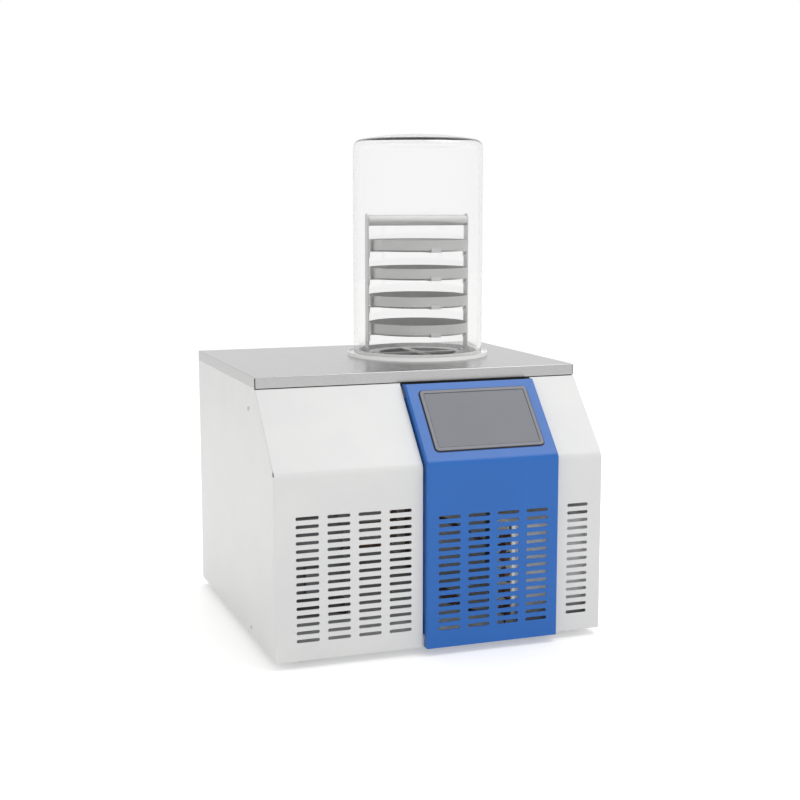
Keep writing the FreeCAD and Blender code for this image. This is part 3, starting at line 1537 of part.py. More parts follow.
def cabinet_screws():
    """The screws in the side walls, and those that hold the rear panel."""
    screws = []
    for sign in (-1, 1):
        for y, z in (("upper_screw_y", "upper_screw_z"), ("lower_screw_y", "lower_screw_z")):
            item = screw("side_screw", "screw_radius", "screw_head", "screw_head_depth", "screw_length")
            place(item, f"{sign} * half_width", y, z)
            item.Placement.Rotation = Rotation(Vector(0, 1, 0), 90 * sign)
            screws.append(item)
    group("side_screws", screws)
    screws = []
    for x in REAR_SCREW_X:
        for z in REAR_SCREW_Z:
            item = screw("rear_screw", "screw_radius", "screw_head", "screw_head_depth", "screw_length")
            place(item, x, "panel_face", z)
            item.Placement.Rotation = Rotation(Vector(1, 0, 0), -90)
            screws.append(item)
    group("rear_screws", screws)


# Build, check and write.


side_shell("left")
side_shell("right")
front_cover()
top_plate()
rear_panel()
base_pan()
feet()
screen()
chamber()
cold_trap()
evaporator()
rack()
for index in range(round(value("tray_count"))):
    shelf(index)
rack_screws()
compressor()
compressor_mounts()
condenser()
pipes()
electrical_box()
frame_posts()
vacuum_port()
drain()
vent()
sockets()
switch()
cabinet_screws()

doc.recompute()
for item in doc.Objects:
    if "Invalid" in item.State or "Error" in item.State:
        raise RuntimeError(f"{item.Name} did not build: {item.State}")
for label, item in nodes.items():
    if item.Shape.isNull() or not item.Shape.isValid():
        raise RuntimeError(f"{label} has no valid shape")

os.makedirs("parts", exist_ok=True)
for label, item in nodes.items():
    item.Shape.exportStep(f"parts/{label}.step")
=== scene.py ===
import json
import math

import bmesh
import bpy
from mathutils import Matrix, Vector


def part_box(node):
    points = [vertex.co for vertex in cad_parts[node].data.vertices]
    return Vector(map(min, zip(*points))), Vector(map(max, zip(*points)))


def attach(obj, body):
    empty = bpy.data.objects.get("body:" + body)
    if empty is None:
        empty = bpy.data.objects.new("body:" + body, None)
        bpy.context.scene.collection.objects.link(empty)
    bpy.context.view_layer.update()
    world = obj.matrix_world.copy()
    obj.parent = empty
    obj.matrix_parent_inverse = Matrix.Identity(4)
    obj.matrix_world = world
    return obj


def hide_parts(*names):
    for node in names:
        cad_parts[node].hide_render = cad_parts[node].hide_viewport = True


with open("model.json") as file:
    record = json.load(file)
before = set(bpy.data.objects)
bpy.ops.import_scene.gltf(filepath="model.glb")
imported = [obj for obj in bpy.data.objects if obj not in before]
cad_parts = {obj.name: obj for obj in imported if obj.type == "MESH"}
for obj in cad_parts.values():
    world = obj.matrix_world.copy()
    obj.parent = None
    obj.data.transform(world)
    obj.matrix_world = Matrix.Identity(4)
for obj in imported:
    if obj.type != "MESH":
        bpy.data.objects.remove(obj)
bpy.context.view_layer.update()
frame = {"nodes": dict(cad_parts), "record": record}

nodes = frame["nodes"]
mm = 0.001
scene = bpy.context.scene

camera = {
    "place": (-0.8795, -2.5133, 0.7905),  # metres, in the part's frame
    "turn": 19.887,  # degrees from straight back, towards the right
    "tilt": 8.115,  # degrees down
    "lens": 62.27,  # mm
    "sensor": 36,  # mm
    "reach": 40,  # metres, as far as it sees
}

studio = {
    "skyStrength": 0.64,
    "backdropWhite": 1.0,
    "floorHalf": 12,  # metres
    "floorColour": "#e9e9e8",
    "floorLift": 0.36,  # takes the lit floor up to white for the eye
    "farLift": 0.5,  # the same where the lamps no longer reach
    "fade": (0.9, 2.6),  # metres from the middle, from the one lift to the other
}

# places, aims and sizes in metres, power in watts
# only topBox is mirrored: metal and acrylic reflect the even white room instead of the others
lamps = {
    "topBox": {
        "place": (0.95, -0.8, 2.5), "aim": (0.1, -0.25, 0.4),
        "size": (1.4, 1.4), "power": 16, "mirrored": True},
    "leftBox": {
        "place": (-2.6, -0.2, 0.6), "aim": (0, 0, 0.3),
        "size": (3.0, 3.0), "power": 16, "mirrored": False},
    # from behind, the ground that frontBox lights is beyond white and hides the bell's pale edge
    "frontBox": {
        "place": (-0.1, -3.3, 0.45), "aim": (0.05, 0, 0.25),
        "size": (3.2, 3.2), "power": 42, "mirrored": False},
    "backBox": {
        "place": (0.2, 1.7, 2.1), "aim": (0, 0, 0.4),
        "size": (1.4, 1.4), "power": 24, "mirrored": False},
    # stands upright behind the front panels, for what the slots let through
    "insideGlow": {
        "place": (0, -0.304, 0.19), "aim": (0, 0, 0.19),
        "size": (0.56, 0.24), "power": 0.34, "mirrored": False},
}


def addCamera(c):
    data = bpy.data.cameras.new("camera")
    data.lens = c["lens"]
    data.sensor_width = c["sensor"]
    data.clip_end = c["reach"]
    item = bpy.data.objects.new("camera", data)
    item.location = c["place"]
    item.rotation_euler = (math.radians(90 - c["tilt"]), 0, -math.radians(c["turn"]))
    scene.collection.objects.link(item)
    scene.camera = item


def addLamp(name, lamp):
    data = bpy.data.lights.new(name, "AREA")
    data.shape = "RECTANGLE"
    data.size, data.size_y = lamp["size"]
    data.energy = lamp["power"]
    item = bpy.data.objects.new(name, data)
    item.location = lamp["place"]
    ahead = Vector(lamp["aim"]) - Vector(lamp["place"])
    item.rotation_euler = ahead.to_track_quat("-Z", "Y").to_euler()
    # seen neither directly nor through the bell
    item.visible_camera = item.visible_transmission = False
    item.visible_glossy = lamp["mirrored"]
    scene.collection.objects.link(item)


def linear(hexColour):
    parts = [int(hexColour[i:i + 2], 16) / 255 for i in (1, 3, 5)]
    lifted = [p / 12.92 if p <= 0.04045 else ((p + 0.055) / 1.055) ** 2.4 for p in parts]
    return (*lifted, 1)


def plug(tree, node, inputs):
    # a value sets the socket, a node or one of its outputs is linked to it
    for name, value in inputs.items():
        if isinstance(value, bpy.types.Node):
            value = value.outputs[0]
        if isinstance(value, bpy.types.NodeSocket):
            tree.links.new(value, node.inputs[name])
        else:
            node.inputs[name].default_value = value


def addNode(tree, kind, settings=None, inputs=None):
    node = tree.nodes.new(kind)
    for name, value in (settings or {}).items():
        setattr(node, name, value)
    plug(tree, node, inputs or {})
    return node


def emptyMaterial(name):
    material = bpy.data.materials.new(name)
    material.use_nodes = True
    material.node_tree.nodes.clear()
    return material, material.node_tree


def whiteForEye(tree, base, lifted):
    # 1 where the camera, a mirror or clear plastic looks at it, 0 where it only lights
    path = addNode(tree, "ShaderNodeLightPath")
    first = addNode(tree, "ShaderNodeMath", {"operation": "MAXIMUM"}, {
        0: path.outputs["Is Camera Ray"], 1: path.outputs["Is Glossy Ray"]})
    both = addNode(tree, "ShaderNodeMath", {"operation": "MAXIMUM"}, {
        0: first, 1: path.outputs["Is Transmission Ray"]})
    return addNode(tree, "ShaderNodeMix", {}, {0: both, 2: base, 3: lifted})


def addRoom(s):
    world = bpy.data.worlds.new("room")
    world.use_nodes = True
    tree = world.node_tree
    tree.nodes.clear()
    strength = whiteForEye(tree, s["skyStrength"], s["backdropWhite"])
    sky = addNode(tree, "ShaderNodeBackground", {}, {"Color": (1, 1, 1, 1), "Strength": strength})
    addNode(tree, "ShaderNodeOutputWorld", {}, {"Surface": sky})
    scene.world = world

    mesh = bpy.data.meshes.new("floor")
    half = s["floorHalf"]
    corners = [(-half, -half, 0), (half, -half, 0), (half, half, 0), (-half, half, 0)]
    mesh.from_pydata(corners, [], [(0, 1, 2, 3)])
    floor = bpy.data.objects.new("floor", mesh)
    scene.collection.objects.link(floor)
    material, tree = emptyMaterial("paleFloor")
    shade = addNode(tree, "ShaderNodeBsdfDiffuse", {}, {"Color": linear(s["floorColour"])})
    where = addNode(tree, "ShaderNodeTexCoord").outputs["Object"]
    away = addNode(tree, "ShaderNodeVectorMath", {"operation": "LENGTH"}, {0: where})
    fade = addNode(tree, "ShaderNodeMapRange", {}, {
        "Value": away.outputs["Value"], "From Min": s["fade"][0], "From Max": s["fade"][1],
        "To Min": s["floorLift"], "To Max": s["farLift"]})
    lift = addNode(tree, "ShaderNodeEmission", {}, {"Strength": whiteForEye(tree, 0, fade)})
    both = addNode(tree, "ShaderNodeAddShader", {}, {0: shade, 1: lift})
    addNode(tree, "ShaderNodeOutputMaterial", {}, {"Surface": both})
    mesh.materials.append(material)


addCamera(camera)
addRoom(studio)
for name, lamp in lamps.items():
    addLamp(name, lamp)
scene.view_settings.view_transform = "Standard"
print("camera, room and lights ready")


def surface(name):
    # a principled shader, and the place on the piece that its patterns follow
    material, tree = emptyMaterial(name)
    shader = addNode(tree, "ShaderNodeBsdfPrincipled")
    addNode(tree, "ShaderNodeOutputMaterial", {}, {"Surface": shader})
    where = addNode(tree, "ShaderNodeTexCoord").outputs["Object"]
    return material, tree, shader, where


# noise seldom leaves these values, so the patterns are stretched between them
softRange = {"From Min": 0.3, "From Max": 0.7}
crispRange = {"From Min": 0.35, "From Max": 0.65}

# in the dictionaries below colours and roughness are pairs that a pattern blends between,
# and sizes are in mm: how far across one patch of the pattern is, and how deep its relief is

powder = {
    "white": ("#dadad9", "#d6d6d6"),
    "blue": ("#1261b3", "#105eae"),
    "pale": ("#d5d6d6", "#d0d1d1"),
    "rough": (0.26, 0.34),
    "cloud": 90,  # the faint unevenness of the coat
    "wipe": 14,  # patches that cloths have left a little duller
    "peel": 1.6,  # one bump of the orange peel
    "peelDepth": 0.012,
}


def powderCoat(name, colours):
    # polyester powder, baked on steel: even colour, a soft sheen over a fine orange peel
    material, tree, shader, where = surface(name)
    cloud = addNode(tree, "ShaderNodeTexNoise", {}, {
        "Vector": where, "Scale": 1 / (powder["cloud"] * mm), "Detail": 3.0})
    tone = addNode(tree, "ShaderNodeMapRange", {}, {"Value": cloud, **softRange})
    colour = addNode(tree, "ShaderNodeMix", {"data_type": "RGBA"}, {
        0: tone, 6: linear(colours[0]), 7: linear(colours[1])})
    wiped = addNode(tree, "ShaderNodeTexNoise", {}, {
        "Vector": where, "Scale": 1 / (powder["wipe"] * mm)})
    sheen = addNode(tree, "ShaderNodeMapRange", {}, {
        "Value": wiped, "To Min": powder["rough"][0], "To Max": powder["rough"][1]})
    peel = addNode(tree, "ShaderNodeTexNoise", {}, {
        "Vector": where, "Scale": 1 / (powder["peel"] * mm)})
    relief = addNode(tree, "ShaderNodeBump", {}, {
        "Height": peel, "Distance": powder["peelDepth"] * mm})
    plug(tree, shader, {
        "Base Color": colour.outputs[2], "Roughness": sheen, "Normal": relief, "IOR": 1.5})
    return material


plate = {
    "colours": ("#acacac", "#b6b6b6"),
    "rough": (0.2, 0.34),
    "line": 0.5,  # between brush lines, coarser than the real grit so that they show
    "lineDepth": 0.006,
    "drawnOut": 90,  # how many times longer than wide a brush line is
    "speck": 2.2,  # the sparkle of the rolled skin
    "speckShare": 0.4,  # of the pattern, the rest is brush lines
}


def brushedPlate(name, p, along):
    # rolled stainless sheet, belt-brushed one way: fine lines, a sparkle and a drawn-out highlight
    material, tree, shader, where = surface(name)
    stretch = [1 / (p["line"] * mm * (p["drawnOut"] if axis == along else 1)) for axis in range(3)]
    lines = addNode(tree, "ShaderNodeMapping", {}, {"Vector": where, "Scale": stretch})
    grain = addNode(tree, "ShaderNodeTexNoise", {}, {"Vector": lines, "Scale": 1.0, "Detail": 3.0})
    specks = addNode(tree, "ShaderNodeTexNoise", {}, {
        "Vector": where, "Scale": 1 / (p["speck"] * mm)})
    both = addNode(tree, "ShaderNodeMix", {}, {0: p["speckShare"], 2: grain, 3: specks})
    tone = addNode(tree, "ShaderNodeMapRange", {}, {"Value": both, **crispRange})
    colour = addNode(tree, "ShaderNodeMix", {"data_type": "RGBA"}, {
        0: tone, 6: linear(p["colours"][0]), 7: linear(p["colours"][1])})
    rough = addNode(tree, "ShaderNodeMapRange", {}, {
        "Value": grain, "To Min": p["rough"][0], "To Max": p["rough"][1]})
    relief = addNode(tree, "ShaderNodeBump", {}, {
        "Height": both, "Distance": p["lineDepth"] * mm})
    plug(tree, shader, {
        "Base Color": colour.outputs[2], "Roughness": rough, "Normal": relief, "Metallic": 1.0})
    return material


spun = {
    "ring": 0.6,  # between turning marks, coarser than the real ones so that they show
    "ringDepth": 0.004,
}


def spunSteel(name, colours, rough, centre):
    # stainless spun on a lathe: fine rings round the upright axis, and fans of light across them
    material, tree, shader, where = surface(name)
    spot = addNode(tree, "ShaderNodeVectorMath", {"operation": "SUBTRACT"}, {0: where, 1: centre})
    flat = addNode(tree, "ShaderNodeVectorMath", {"operation": "MULTIPLY"}, {0: spot, 1: (1, 1, 0)})
    radius = addNode(tree, "ShaderNodeVectorMath", {"operation": "LENGTH"}, {0: flat})
    parts = addNode(tree, "ShaderNodeSeparateXYZ", {}, {0: where})
    ring = addNode(tree, "ShaderNodeCombineXYZ", {}, {
        0: radius.outputs["Value"], 1: parts.outputs[2]})
    rings = addNode(tree, "ShaderNodeTexNoise", {}, {
        "Vector": ring, "Scale": 1 / (spun["ring"] * mm), "Detail": 3.0})
    specks = addNode(tree, "ShaderNodeTexNoise", {}, {
        "Vector": where, "Scale": 1 / (plate["speck"] * mm)})
    grain = addNode(tree, "ShaderNodeMix", {}, {0: plate["speckShare"], 2: rings, 3: specks})
    tone = addNode(tree, "ShaderNodeMapRange", {}, {"Value": grain, **crispRange})
    colour = addNode(tree, "ShaderNodeMix", {"data_type": "RGBA"}, {
        0: tone, 6: linear(colours[0]), 7: linear(colours[1])})
    sheen = addNode(tree, "ShaderNodeMapRange", {}, {
        "Value": grain, "To Min": rough[0], "To Max": rough[1]})
    relief = addNode(tree, "ShaderNodeBump", {}, {
        "Height": grain, "Distance": spun["ringDepth"] * mm})
    plug(tree, shader, {
        "Base Color": colour.outputs[2], "Roughness": sheen, "Normal": relief, "Metallic": 1.0})
    return material


acrylic = {
    "smear": 25,
    "haze": 0.02,  # roughness where it is smeared most
    "tint": 5.5,  # how fast the wall darkens what is seen along it, per metre
}


def castAcrylic():
    # cast acrylic, polished: water-clear, with the faintest haze from wiping
    material, tree, shader, where = surface("castAcrylic")
    smear = addNode(tree, "ShaderNodeTexNoise", {}, {
        "Vector": where, "Scale": 1 / (acrylic["smear"] * mm), "Detail": 4.0})
    haze = addNode(tree, "ShaderNodeMapRange", {}, {
        "Value": smear, "To Min": 0.0, "To Max": acrylic["haze"]})
    plug(tree, shader, {
        "Base Color": (1, 1, 1, 1), "Roughness": haze, "IOR": 1.49, "Transmission Weight": 1.0})
    body = addNode(tree, "ShaderNodeVolumeAbsorption", {}, {
        "Color": (0, 0, 0, 1), "Density": acrylic["tint"]})
    plug(tree, tree.nodes["Material Output"], {"Volume": body})
    return material


rubber = {
    "rough": (0.5, 0.62),
    "dust": 6,  # dusty and cleaner patches
    "skin": 0.8,  # the texture that the mould leaves
    "skinDepth": 0.02,
}


def mouldedRubber(name, colours):
    # compression-moulded rubber: matt and slightly dusty
    material, tree, shader, where = surface(name)
    dust = addNode(tree, "ShaderNodeTexNoise", {}, {
        "Vector": where, "Scale": 1 / (rubber["dust"] * mm), "Detail": 4.0})
    colour = addNode(tree, "ShaderNodeMix", {"data_type": "RGBA"}, {
        0: dust, 6: linear(colours[0]), 7: linear(colours[1])})
    sheen = addNode(tree, "ShaderNodeMapRange", {}, {
        "Value": dust, "To Min": rubber["rough"][0], "To Max": rubber["rough"][1]})
    skin = addNode(tree, "ShaderNodeTexNoise", {}, {
        "Vector": where, "Scale": 1 / (rubber["skin"] * mm)})
    relief = addNode(tree, "ShaderNodeBump", {}, {
        "Height": skin, "Distance": rubber["skinDepth"] * mm})
    plug(tree, shader, {
        "Base Color": colour.outputs[2], "Roughness": sheen, "Normal": relief, "IOR": 1.42})
    return material


plastic = {
    "rough": (0.38, 0.5),
    "flow": 30,  # how the melt has run, hardly to be seen
    "grain": 0.5,  # coarser than real spark erosion so that it shows
    "grainDepth": 0.01,
}
enamel = {"rough": (0.3, 0.4), "grain": 1.5}


def mouldedPlastic(name, colours, rough, grain):
    # injection-moulded: one colour under a fine spark-eroded grain
    # stoved enamel is the same with a coarser, softer grain
    material, tree, shader, where = surface(name)
    flow = addNode(tree, "ShaderNodeTexNoise", {}, {
        "Vector": where, "Scale": 1 / (plastic["flow"] * mm)})
    colour = addNode(tree, "ShaderNodeMix", {"data_type": "RGBA"}, {
        0: flow, 6: linear(colours[0]), 7: linear(colours[1])})
    pits = addNode(tree, "ShaderNodeTexNoise", {}, {"Vector": where, "Scale": 1 / (grain * mm)})
    sheen = addNode(tree, "ShaderNodeMapRange", {}, {
        "Value": pits, "To Min": rough[0], "To Max": rough[1]})
    relief = addNode(tree, "ShaderNodeBump", {}, {
        "Height": pits, "Distance": plastic["grainDepth"] * mm})
    plug(tree, shader, {
        "Base Color": colour.outputs[2], "Roughness": sheen, "Normal": relief, "IOR": 1.53})
    return material


slope = {
    "lean": 47.49,  # degrees from lying flat to the cover's slope
    "frameTall": 127,  # mm, measured up the slope like glassTall
    "glassTall": 115.6,
}

screen = {
    # grey: partly the display's own dark depth, partly painted reflection of the room
    "grey": ("#535760", "#595d66"),
    "rimColour": "#17181b",
    "rim": 1.2,  # width of the printed rim
    "cloud": 70,
    "rough": (0.16, 0.22),
    "etch": 0.6,  # coarser than real etching so that it breaks up the reflection
    "etchDepth": 0.001,
}


def etchedGlass():
    # etched cover glass over a display at rest: a grey that is partly its own depth and partly
    # painted reflection of the room, a black printed rim, a soft reflection
    material, tree, shader, where = surface("etchedScreenGlass")
    low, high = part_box("screen_glass")
    lean = math.radians(slope["lean"])
    up = (0, math.cos(lean), math.sin(lean))
    spot = addNode(tree, "ShaderNodeVectorMath", {"operation": "SUBTRACT"}, {
        0: where, 1: (low + high) / 2})
    edges = []
    for axis, size in (((1, 0, 0), high.x - low.x), (up, slope["glassTall"] * mm)):
        along = addNode(tree, "ShaderNodeVectorMath", {"operation": "DOT_PRODUCT"}, {
            0: spot, 1: axis})
        off = addNode(tree, "ShaderNodeMath", {"operation": "ABSOLUTE"}, {
            0: along.outputs["Value"]})
        edges.append(addNode(tree, "ShaderNodeMath", {"operation": "SUBTRACT"}, {
            0: off, 1: size / 2}))
    nearest = addNode(tree, "ShaderNodeMath", {"operation": "MAXIMUM"}, {0: edges[0], 1: edges[1]})
    rim = addNode(tree, "ShaderNodeMath", {"operation": "GREATER_THAN"}, {
        0: nearest, 1: -screen["rim"] * mm})
    cloud = addNode(tree, "ShaderNodeTexNoise", {}, {
        "Vector": where, "Scale": 1 / (screen["cloud"] * mm)})
    depth = addNode(tree, "ShaderNodeMix", {"data_type": "RGBA"}, {
        0: cloud, 6: linear(screen["grey"][0]), 7: linear(screen["grey"][1])})
    colour = addNode(tree, "ShaderNodeMix", {"data_type": "RGBA"}, {
        0: rim, 6: depth.outputs[2], 7: linear(screen["rimColour"])})
    etch = addNode(tree, "ShaderNodeTexNoise", {}, {
        "Vector": where, "Scale": 1 / (screen["etch"] * mm)})
    sheen = addNode(tree, "ShaderNodeMapRange", {}, {
        "Value": etch, "To Min": screen["rough"][0], "To Max": screen["rough"][1]})
    relief = addNode(tree, "ShaderNodeBump", {}, {
        "Height": etch, "Distance": screen["etchDepth"] * mm})
    plug(tree, shader, {
        "Base Color": colour.outputs[2], "Roughness": sheen, "Normal": relief, "IOR": 1.52})
    return material


zinc = {
    "colours": ("#c6cacc", "#d6dadc"),
    "rough": (0.4, 0.56),
    "metallic": 0.3,  # low, for the white bloom hides most of the metal
    "crystal": 9,
    "crystalDepth": 0.004,
}


def zincSheet():
    # hot-dip galvanised sheet: grey crystals in soft patches, dulled by a white bloom
    material, tree, shader, where = surface("galvanisedSheet")
    cells = addNode(tree, "ShaderNodeTexVoronoi", {}, {
        "Vector": where, "Scale": 1 / (zinc["crystal"] * mm)})
    tone = addNode(tree, "ShaderNodeSeparateColor", {}, {0: cells.outputs["Color"]})
    colour = addNode(tree, "ShaderNodeMix", {"data_type": "RGBA"}, {
        0: tone, 6: linear(zinc["colours"][0]), 7: linear(zinc["colours"][1])})
    sheen = addNode(tree, "ShaderNodeMapRange", {}, {
        "Value": tone, "To Min": zinc["rough"][0], "To Max": zinc["rough"][1]})
    relief = addNode(tree, "ShaderNodeBump", {}, {
        "Height": tone, "Distance": zinc["crystalDepth"] * mm})
    plug(tree, shader, {
        "Base Color": colour.outputs[2], "Roughness": sheen, "Normal": relief,
        "Metallic": zinc["metallic"]})
    return material


metal = {
    "patch": 12,
    "mark": 1.2,
    "markDepth": 0.006,
}


def bareMetal(name, colours, rough, metallic=1.0):
    # drawn, rolled or turned metal, dulled in patches by air and fingers
    material, tree, shader, where = surface(name)
    dull = addNode(tree, "ShaderNodeTexNoise", {}, {
        "Vector": where, "Scale": 1 / (metal["patch"] * mm), "Detail": 4.0})
    tone = addNode(tree, "ShaderNodeMapRange", {}, {"Value": dull, **softRange})
    colour = addNode(tree, "ShaderNodeMix", {"data_type": "RGBA"}, {
        0: tone, 6: linear(colours[0]), 7: linear(colours[1])})
    sheen = addNode(tree, "ShaderNodeMapRange", {}, {
        "Value": dull, "To Min": rough[0], "To Max": rough[1]})
    marks = addNode(tree, "ShaderNodeTexNoise", {}, {
        "Vector": where, "Scale": 1 / (metal["mark"] * mm), "Detail": 3.0})
    relief = addNode(tree, "ShaderNodeBump", {}, {
        "Height": marks, "Distance": metal["markDepth"] * mm})
    plug(tree, shader, {
        "Base Color": colour.outputs[2], "Roughness": sheen, "Normal": relief,
        "Metallic": metallic})
    return material


foam = {
    "colours": ("#ddcfa2", "#cdbb88"),
    "rough": 0.85,  # the same all over
    "patch": 18,
    "cell": 2.5,  # coarser than real foam so that the cells show
    "cellDepth": 0.4,
}


def pouredFoam():
    # rigid polyurethane foam: a pale tan skin with small open cells
    material, tree, shader, where = surface("polyurethaneFoam")
    patch = addNode(tree, "ShaderNodeTexNoise", {}, {
        "Vector": where, "Scale": 1 / (foam["patch"] * mm), "Detail": 4.0})
    colour = addNode(tree, "ShaderNodeMix", {"data_type": "RGBA"}, {
        0: patch, 6: linear(foam["colours"][0]), 7: linear(foam["colours"][1])})
    cells = addNode(tree, "ShaderNodeTexVoronoi", {}, {
        "Vector": where, "Scale": 1 / (foam["cell"] * mm)})
    relief = addNode(tree, "ShaderNodeBump", {}, {
        "Height": cells, "Distance": foam["cellDepth"] * mm})
    plug(tree, shader, {
        "Base Color": colour.outputs[2], "Normal": relief, "Roughness": foam["rough"]})
    return material


low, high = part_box("drying_chamber")
bellAxis = ((low.x + high.x) / 2, (low.y + high.y) / 2, 0)
strip = dict(plate, colours=("#cecece", "#dadad9"), rough=(0.42, 0.55), line=0.4)

finishes = {
    "white_paint": powderCoat("whitePowderCoat", powder["white"]),
    "blue_paint": powderCoat("bluePowderCoat", powder["blue"]),
    "grey_paint": powderCoat("palePowderCoat", powder["pale"]),
    "plate_steel": brushedPlate("brushedStainlessPlate", plate, 0),
    "trap_steel": spunSteel("spunStainlessPot", ("#dcddde", "#e6e6e7"), (0.3, 0.42), bellAxis),
    "tray_steel": spunSteel("spunStainlessTray", ("#c0c0bf", "#cececd"), (0.4, 0.55), bellAxis),
    "rack_steel": brushedPlate("brushedStainlessStrip", strip, 2),
    "port_steel": bareMetal("turnedStainless", ("#b8b8b7", "#c6c6c5"), (0.2, 0.3)),
    "clear_acrylic": castAcrylic(),
    "white_silicone": mouldedRubber("whiteSilicone", ("#f6f6f5", "#efefee")),
    "black_rubber": mouldedRubber("blackNitrileRubber", ("#1c1c1d", "#242425")),
    "grey_plastic": mouldedPlastic(
        "greyMouldedFrame", ("#74757d", "#797a82"), plastic["rough"], plastic["grain"]),
    "black_plastic": mouldedPlastic(
        "blackMouldedNylon", ("#19191a", "#202021"), plastic["rough"], plastic["grain"]),
    "screen_pane": etchedGlass(),
    "galvanised_sheet": zincSheet(),
    "fin_aluminium": bareMetal("rolledAluminiumFins", ("#e6e8ea", "#eff0f1"), (0.45, 0.6), 0.3),
    "copper": bareMetal("drawnCopper", ("#7b5f50", "#8d6f5e"), (0.35, 0.5)),
    "compressor_paint": mouldedPlastic(
        "greyStovedEnamel", ("#6e7073", "#76787b"), enamel["rough"], enamel["grain"]),
    "nickel_brass": bareMetal("nickelPlatedBrass", ("#b9b4a8", "#c8c3b8"), (0.18, 0.28)),
    "foam": pouredFoam(),
    "screw_steel": bareMetal("stainlessScrew", ("#bcbcbc", "#cacaca"), (0.3, 0.42)),
}

slotOf = {row["node"]: row["material_slot"] for row in frame["record"]["subparts"]}
for name, item in nodes.items():
    item.data.materials.clear()
    item.data.materials.append(finishes[slotOf[name]])
print("finishes ready")


def addPiece(name, points, faces, slot, sharp):
    # edges that turn by more than sharp degrees stay crisp
    mesh = bpy.data.meshes.new(name)
    mesh.from_pydata(points, [], faces)
    shell = bmesh.new()
    shell.from_mesh(mesh)
    bmesh.ops.recalc_face_normals(shell, faces=shell.faces)
    shell.to_mesh(mesh)
    shell.free()
    mesh.polygons.foreach_set("use_smooth", [True] * len(mesh.polygons))
    mesh.set_sharp_from_angle(angle=math.radians(sharp))
    mesh.materials.append(finishes[slot])
    item = bpy.data.objects.new(name, mesh)
    scene.collection.objects.link(item)
    return item


def loft(rings, capped=True, start=0):
    # skins a row of rings that have the same number of points; start is the first point's number
    count = len(rings[0])
    points = [tuple(spot) for ring in rings for spot in ring]
    faces = []
    for row in range(len(rings) - 1):
        a = start + row * count
        for k in range(count):
            n = (k + 1) % count
            faces.append((a + k, a + n, a + count + n, a + count + k))
    if capped:
        faces.append(tuple(start + k for k in reversed(range(count))))
        faces.append(tuple(start + (len(rings) - 1) * count + k for k in range(count)))
    return points, faces


def roundCorners(corners, steps):
    # corners are (across, up, radius); each one becomes an arc between its two sides
    line = []
    for index, (x, y, radius) in enumerate(corners):
        here = Vector((x, y))
        if not radius or index in (0, len(corners) - 1):
            line.append(here)
            continue
        back = (Vector(corners[index - 1][:2]) - here).normalized()
        ahead = (Vector(corners[index + 1][:2]) - here).normalized()
        half = back.angle(ahead) / 2
        reach = radius / math.tan(half)
        middle = here + (back + ahead).normalized() * (radius / math.sin(half))
        first, last = here + back * reach - middle, here + ahead * reach - middle
        sweep = math.pi - 2 * half
        turn = -1 if first.x * last.y - first.y * last.x < 0 else 1
        for step in range(steps + 1):
            angle = turn * sweep * step / steps
            turned = Vector((first.x * math.cos(angle) - first.y * math.sin(angle),
                             first.x * math.sin(angle) + first.y * math.cos(angle)))
            line.append(middle + turned)
    return line


bell = {
    "wall": 7,  # mm, the same all over
    "dome": 13,  # rise of the top
    "crown": 16,  # outer radius at the top's edge
    "straight": 2,  # at least this much between the crown and the dome's turn
    "pinhole": 0.05,  # radius at the axis where the skin ends in a small flat cap
    "sides": 144,
    "innerSteps": 12,
    "outerSteps": 14,
}


def addBell(b):
    # one spun skin: out and down the inside, across the foot, up the outside and over the top
    low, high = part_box("drying_chamber")
    outer, top = (high.x - low.x) / 2, high.z
    knee = outer / 2  # the slope of the dome turns level round here
    dome, crown, wall = b["dome"] * mm, b["crown"] * mm, b["wall"] * mm
    slant = math.atan(dome / (outer - knee))
    sweep = (knee - crown - b["straight"] * mm) / math.tan(slant / 2)
    inner = outer - wall
    drop = wall / math.cos(slant)
    innerKnee = knee - (drop - wall) / math.tan(slant)
    shoulder = top - drop - (inner - knee) * math.tan(slant)
    centre = b["pinhole"] * mm
    profile = roundCorners([
        (centre, top - wall, 0), (innerKnee, top - wall, sweep - wall),
        (inner, shoulder, crown - wall), (inner, low.z, 0)], b["innerSteps"])
    profile += roundCorners([
        (outer, low.z, 0), (outer, top - dome, crown),
        (knee, top, sweep), (centre, top, 0)], b["outerSteps"])
    turns = [2 * math.pi * k / b["sides"] for k in range(b["sides"])]
    axisX, axisY = bellAxis[:2]
    rings = [[(axisX + spot.x * math.cos(angle), axisY + spot.x * math.sin(angle), spot.y)
              for angle in turns] for spot in profile]
    points, faces = loft(rings)
    item = addPiece("bell", points, faces, "clear_acrylic", 30)
    item.visible_shadow = False  # clear: the light goes through to the rack
    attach(item, "cabinet")
    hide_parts("drying_chamber")


coil = {
    "fins": 76,  # fewer and thicker than real ones so that they show
    "finWall": 0.25,  # mm
    "ripple": 0.5,  # to each side
    "ripples": 3,  # from front to back
    "rippleSteps": 4,
    "endPlate": 1.5,
    "lip": 6,  # each end plate is folded inwards at its front and back edges
    "tube": 4.7,  # radius
    "tubeSides": 12,
    "tubeRows": 2,
    "passes": 12,
    "bendSteps": 6,
    "margin": 0.75,  # below the first pass and above the last, as a share of the pitch
}


def tube(path, radius, sides):
    # a round pipe along a path that lies in one upright plane across the cabinet
    rings = []
    for index, spot in enumerate(path):
        before, after = path[max(index - 1, 0)], path[min(index + 1, len(path) - 1)]
        along = (after - before).normalized()
        across = Vector((0, 1, 0))
        up = along.cross(across)
        rings.append([spot + radius * (math.cos(a) * across + math.sin(a) * up)
                      for a in (2 * math.pi * k / sides for k in range(sides))])
    return rings


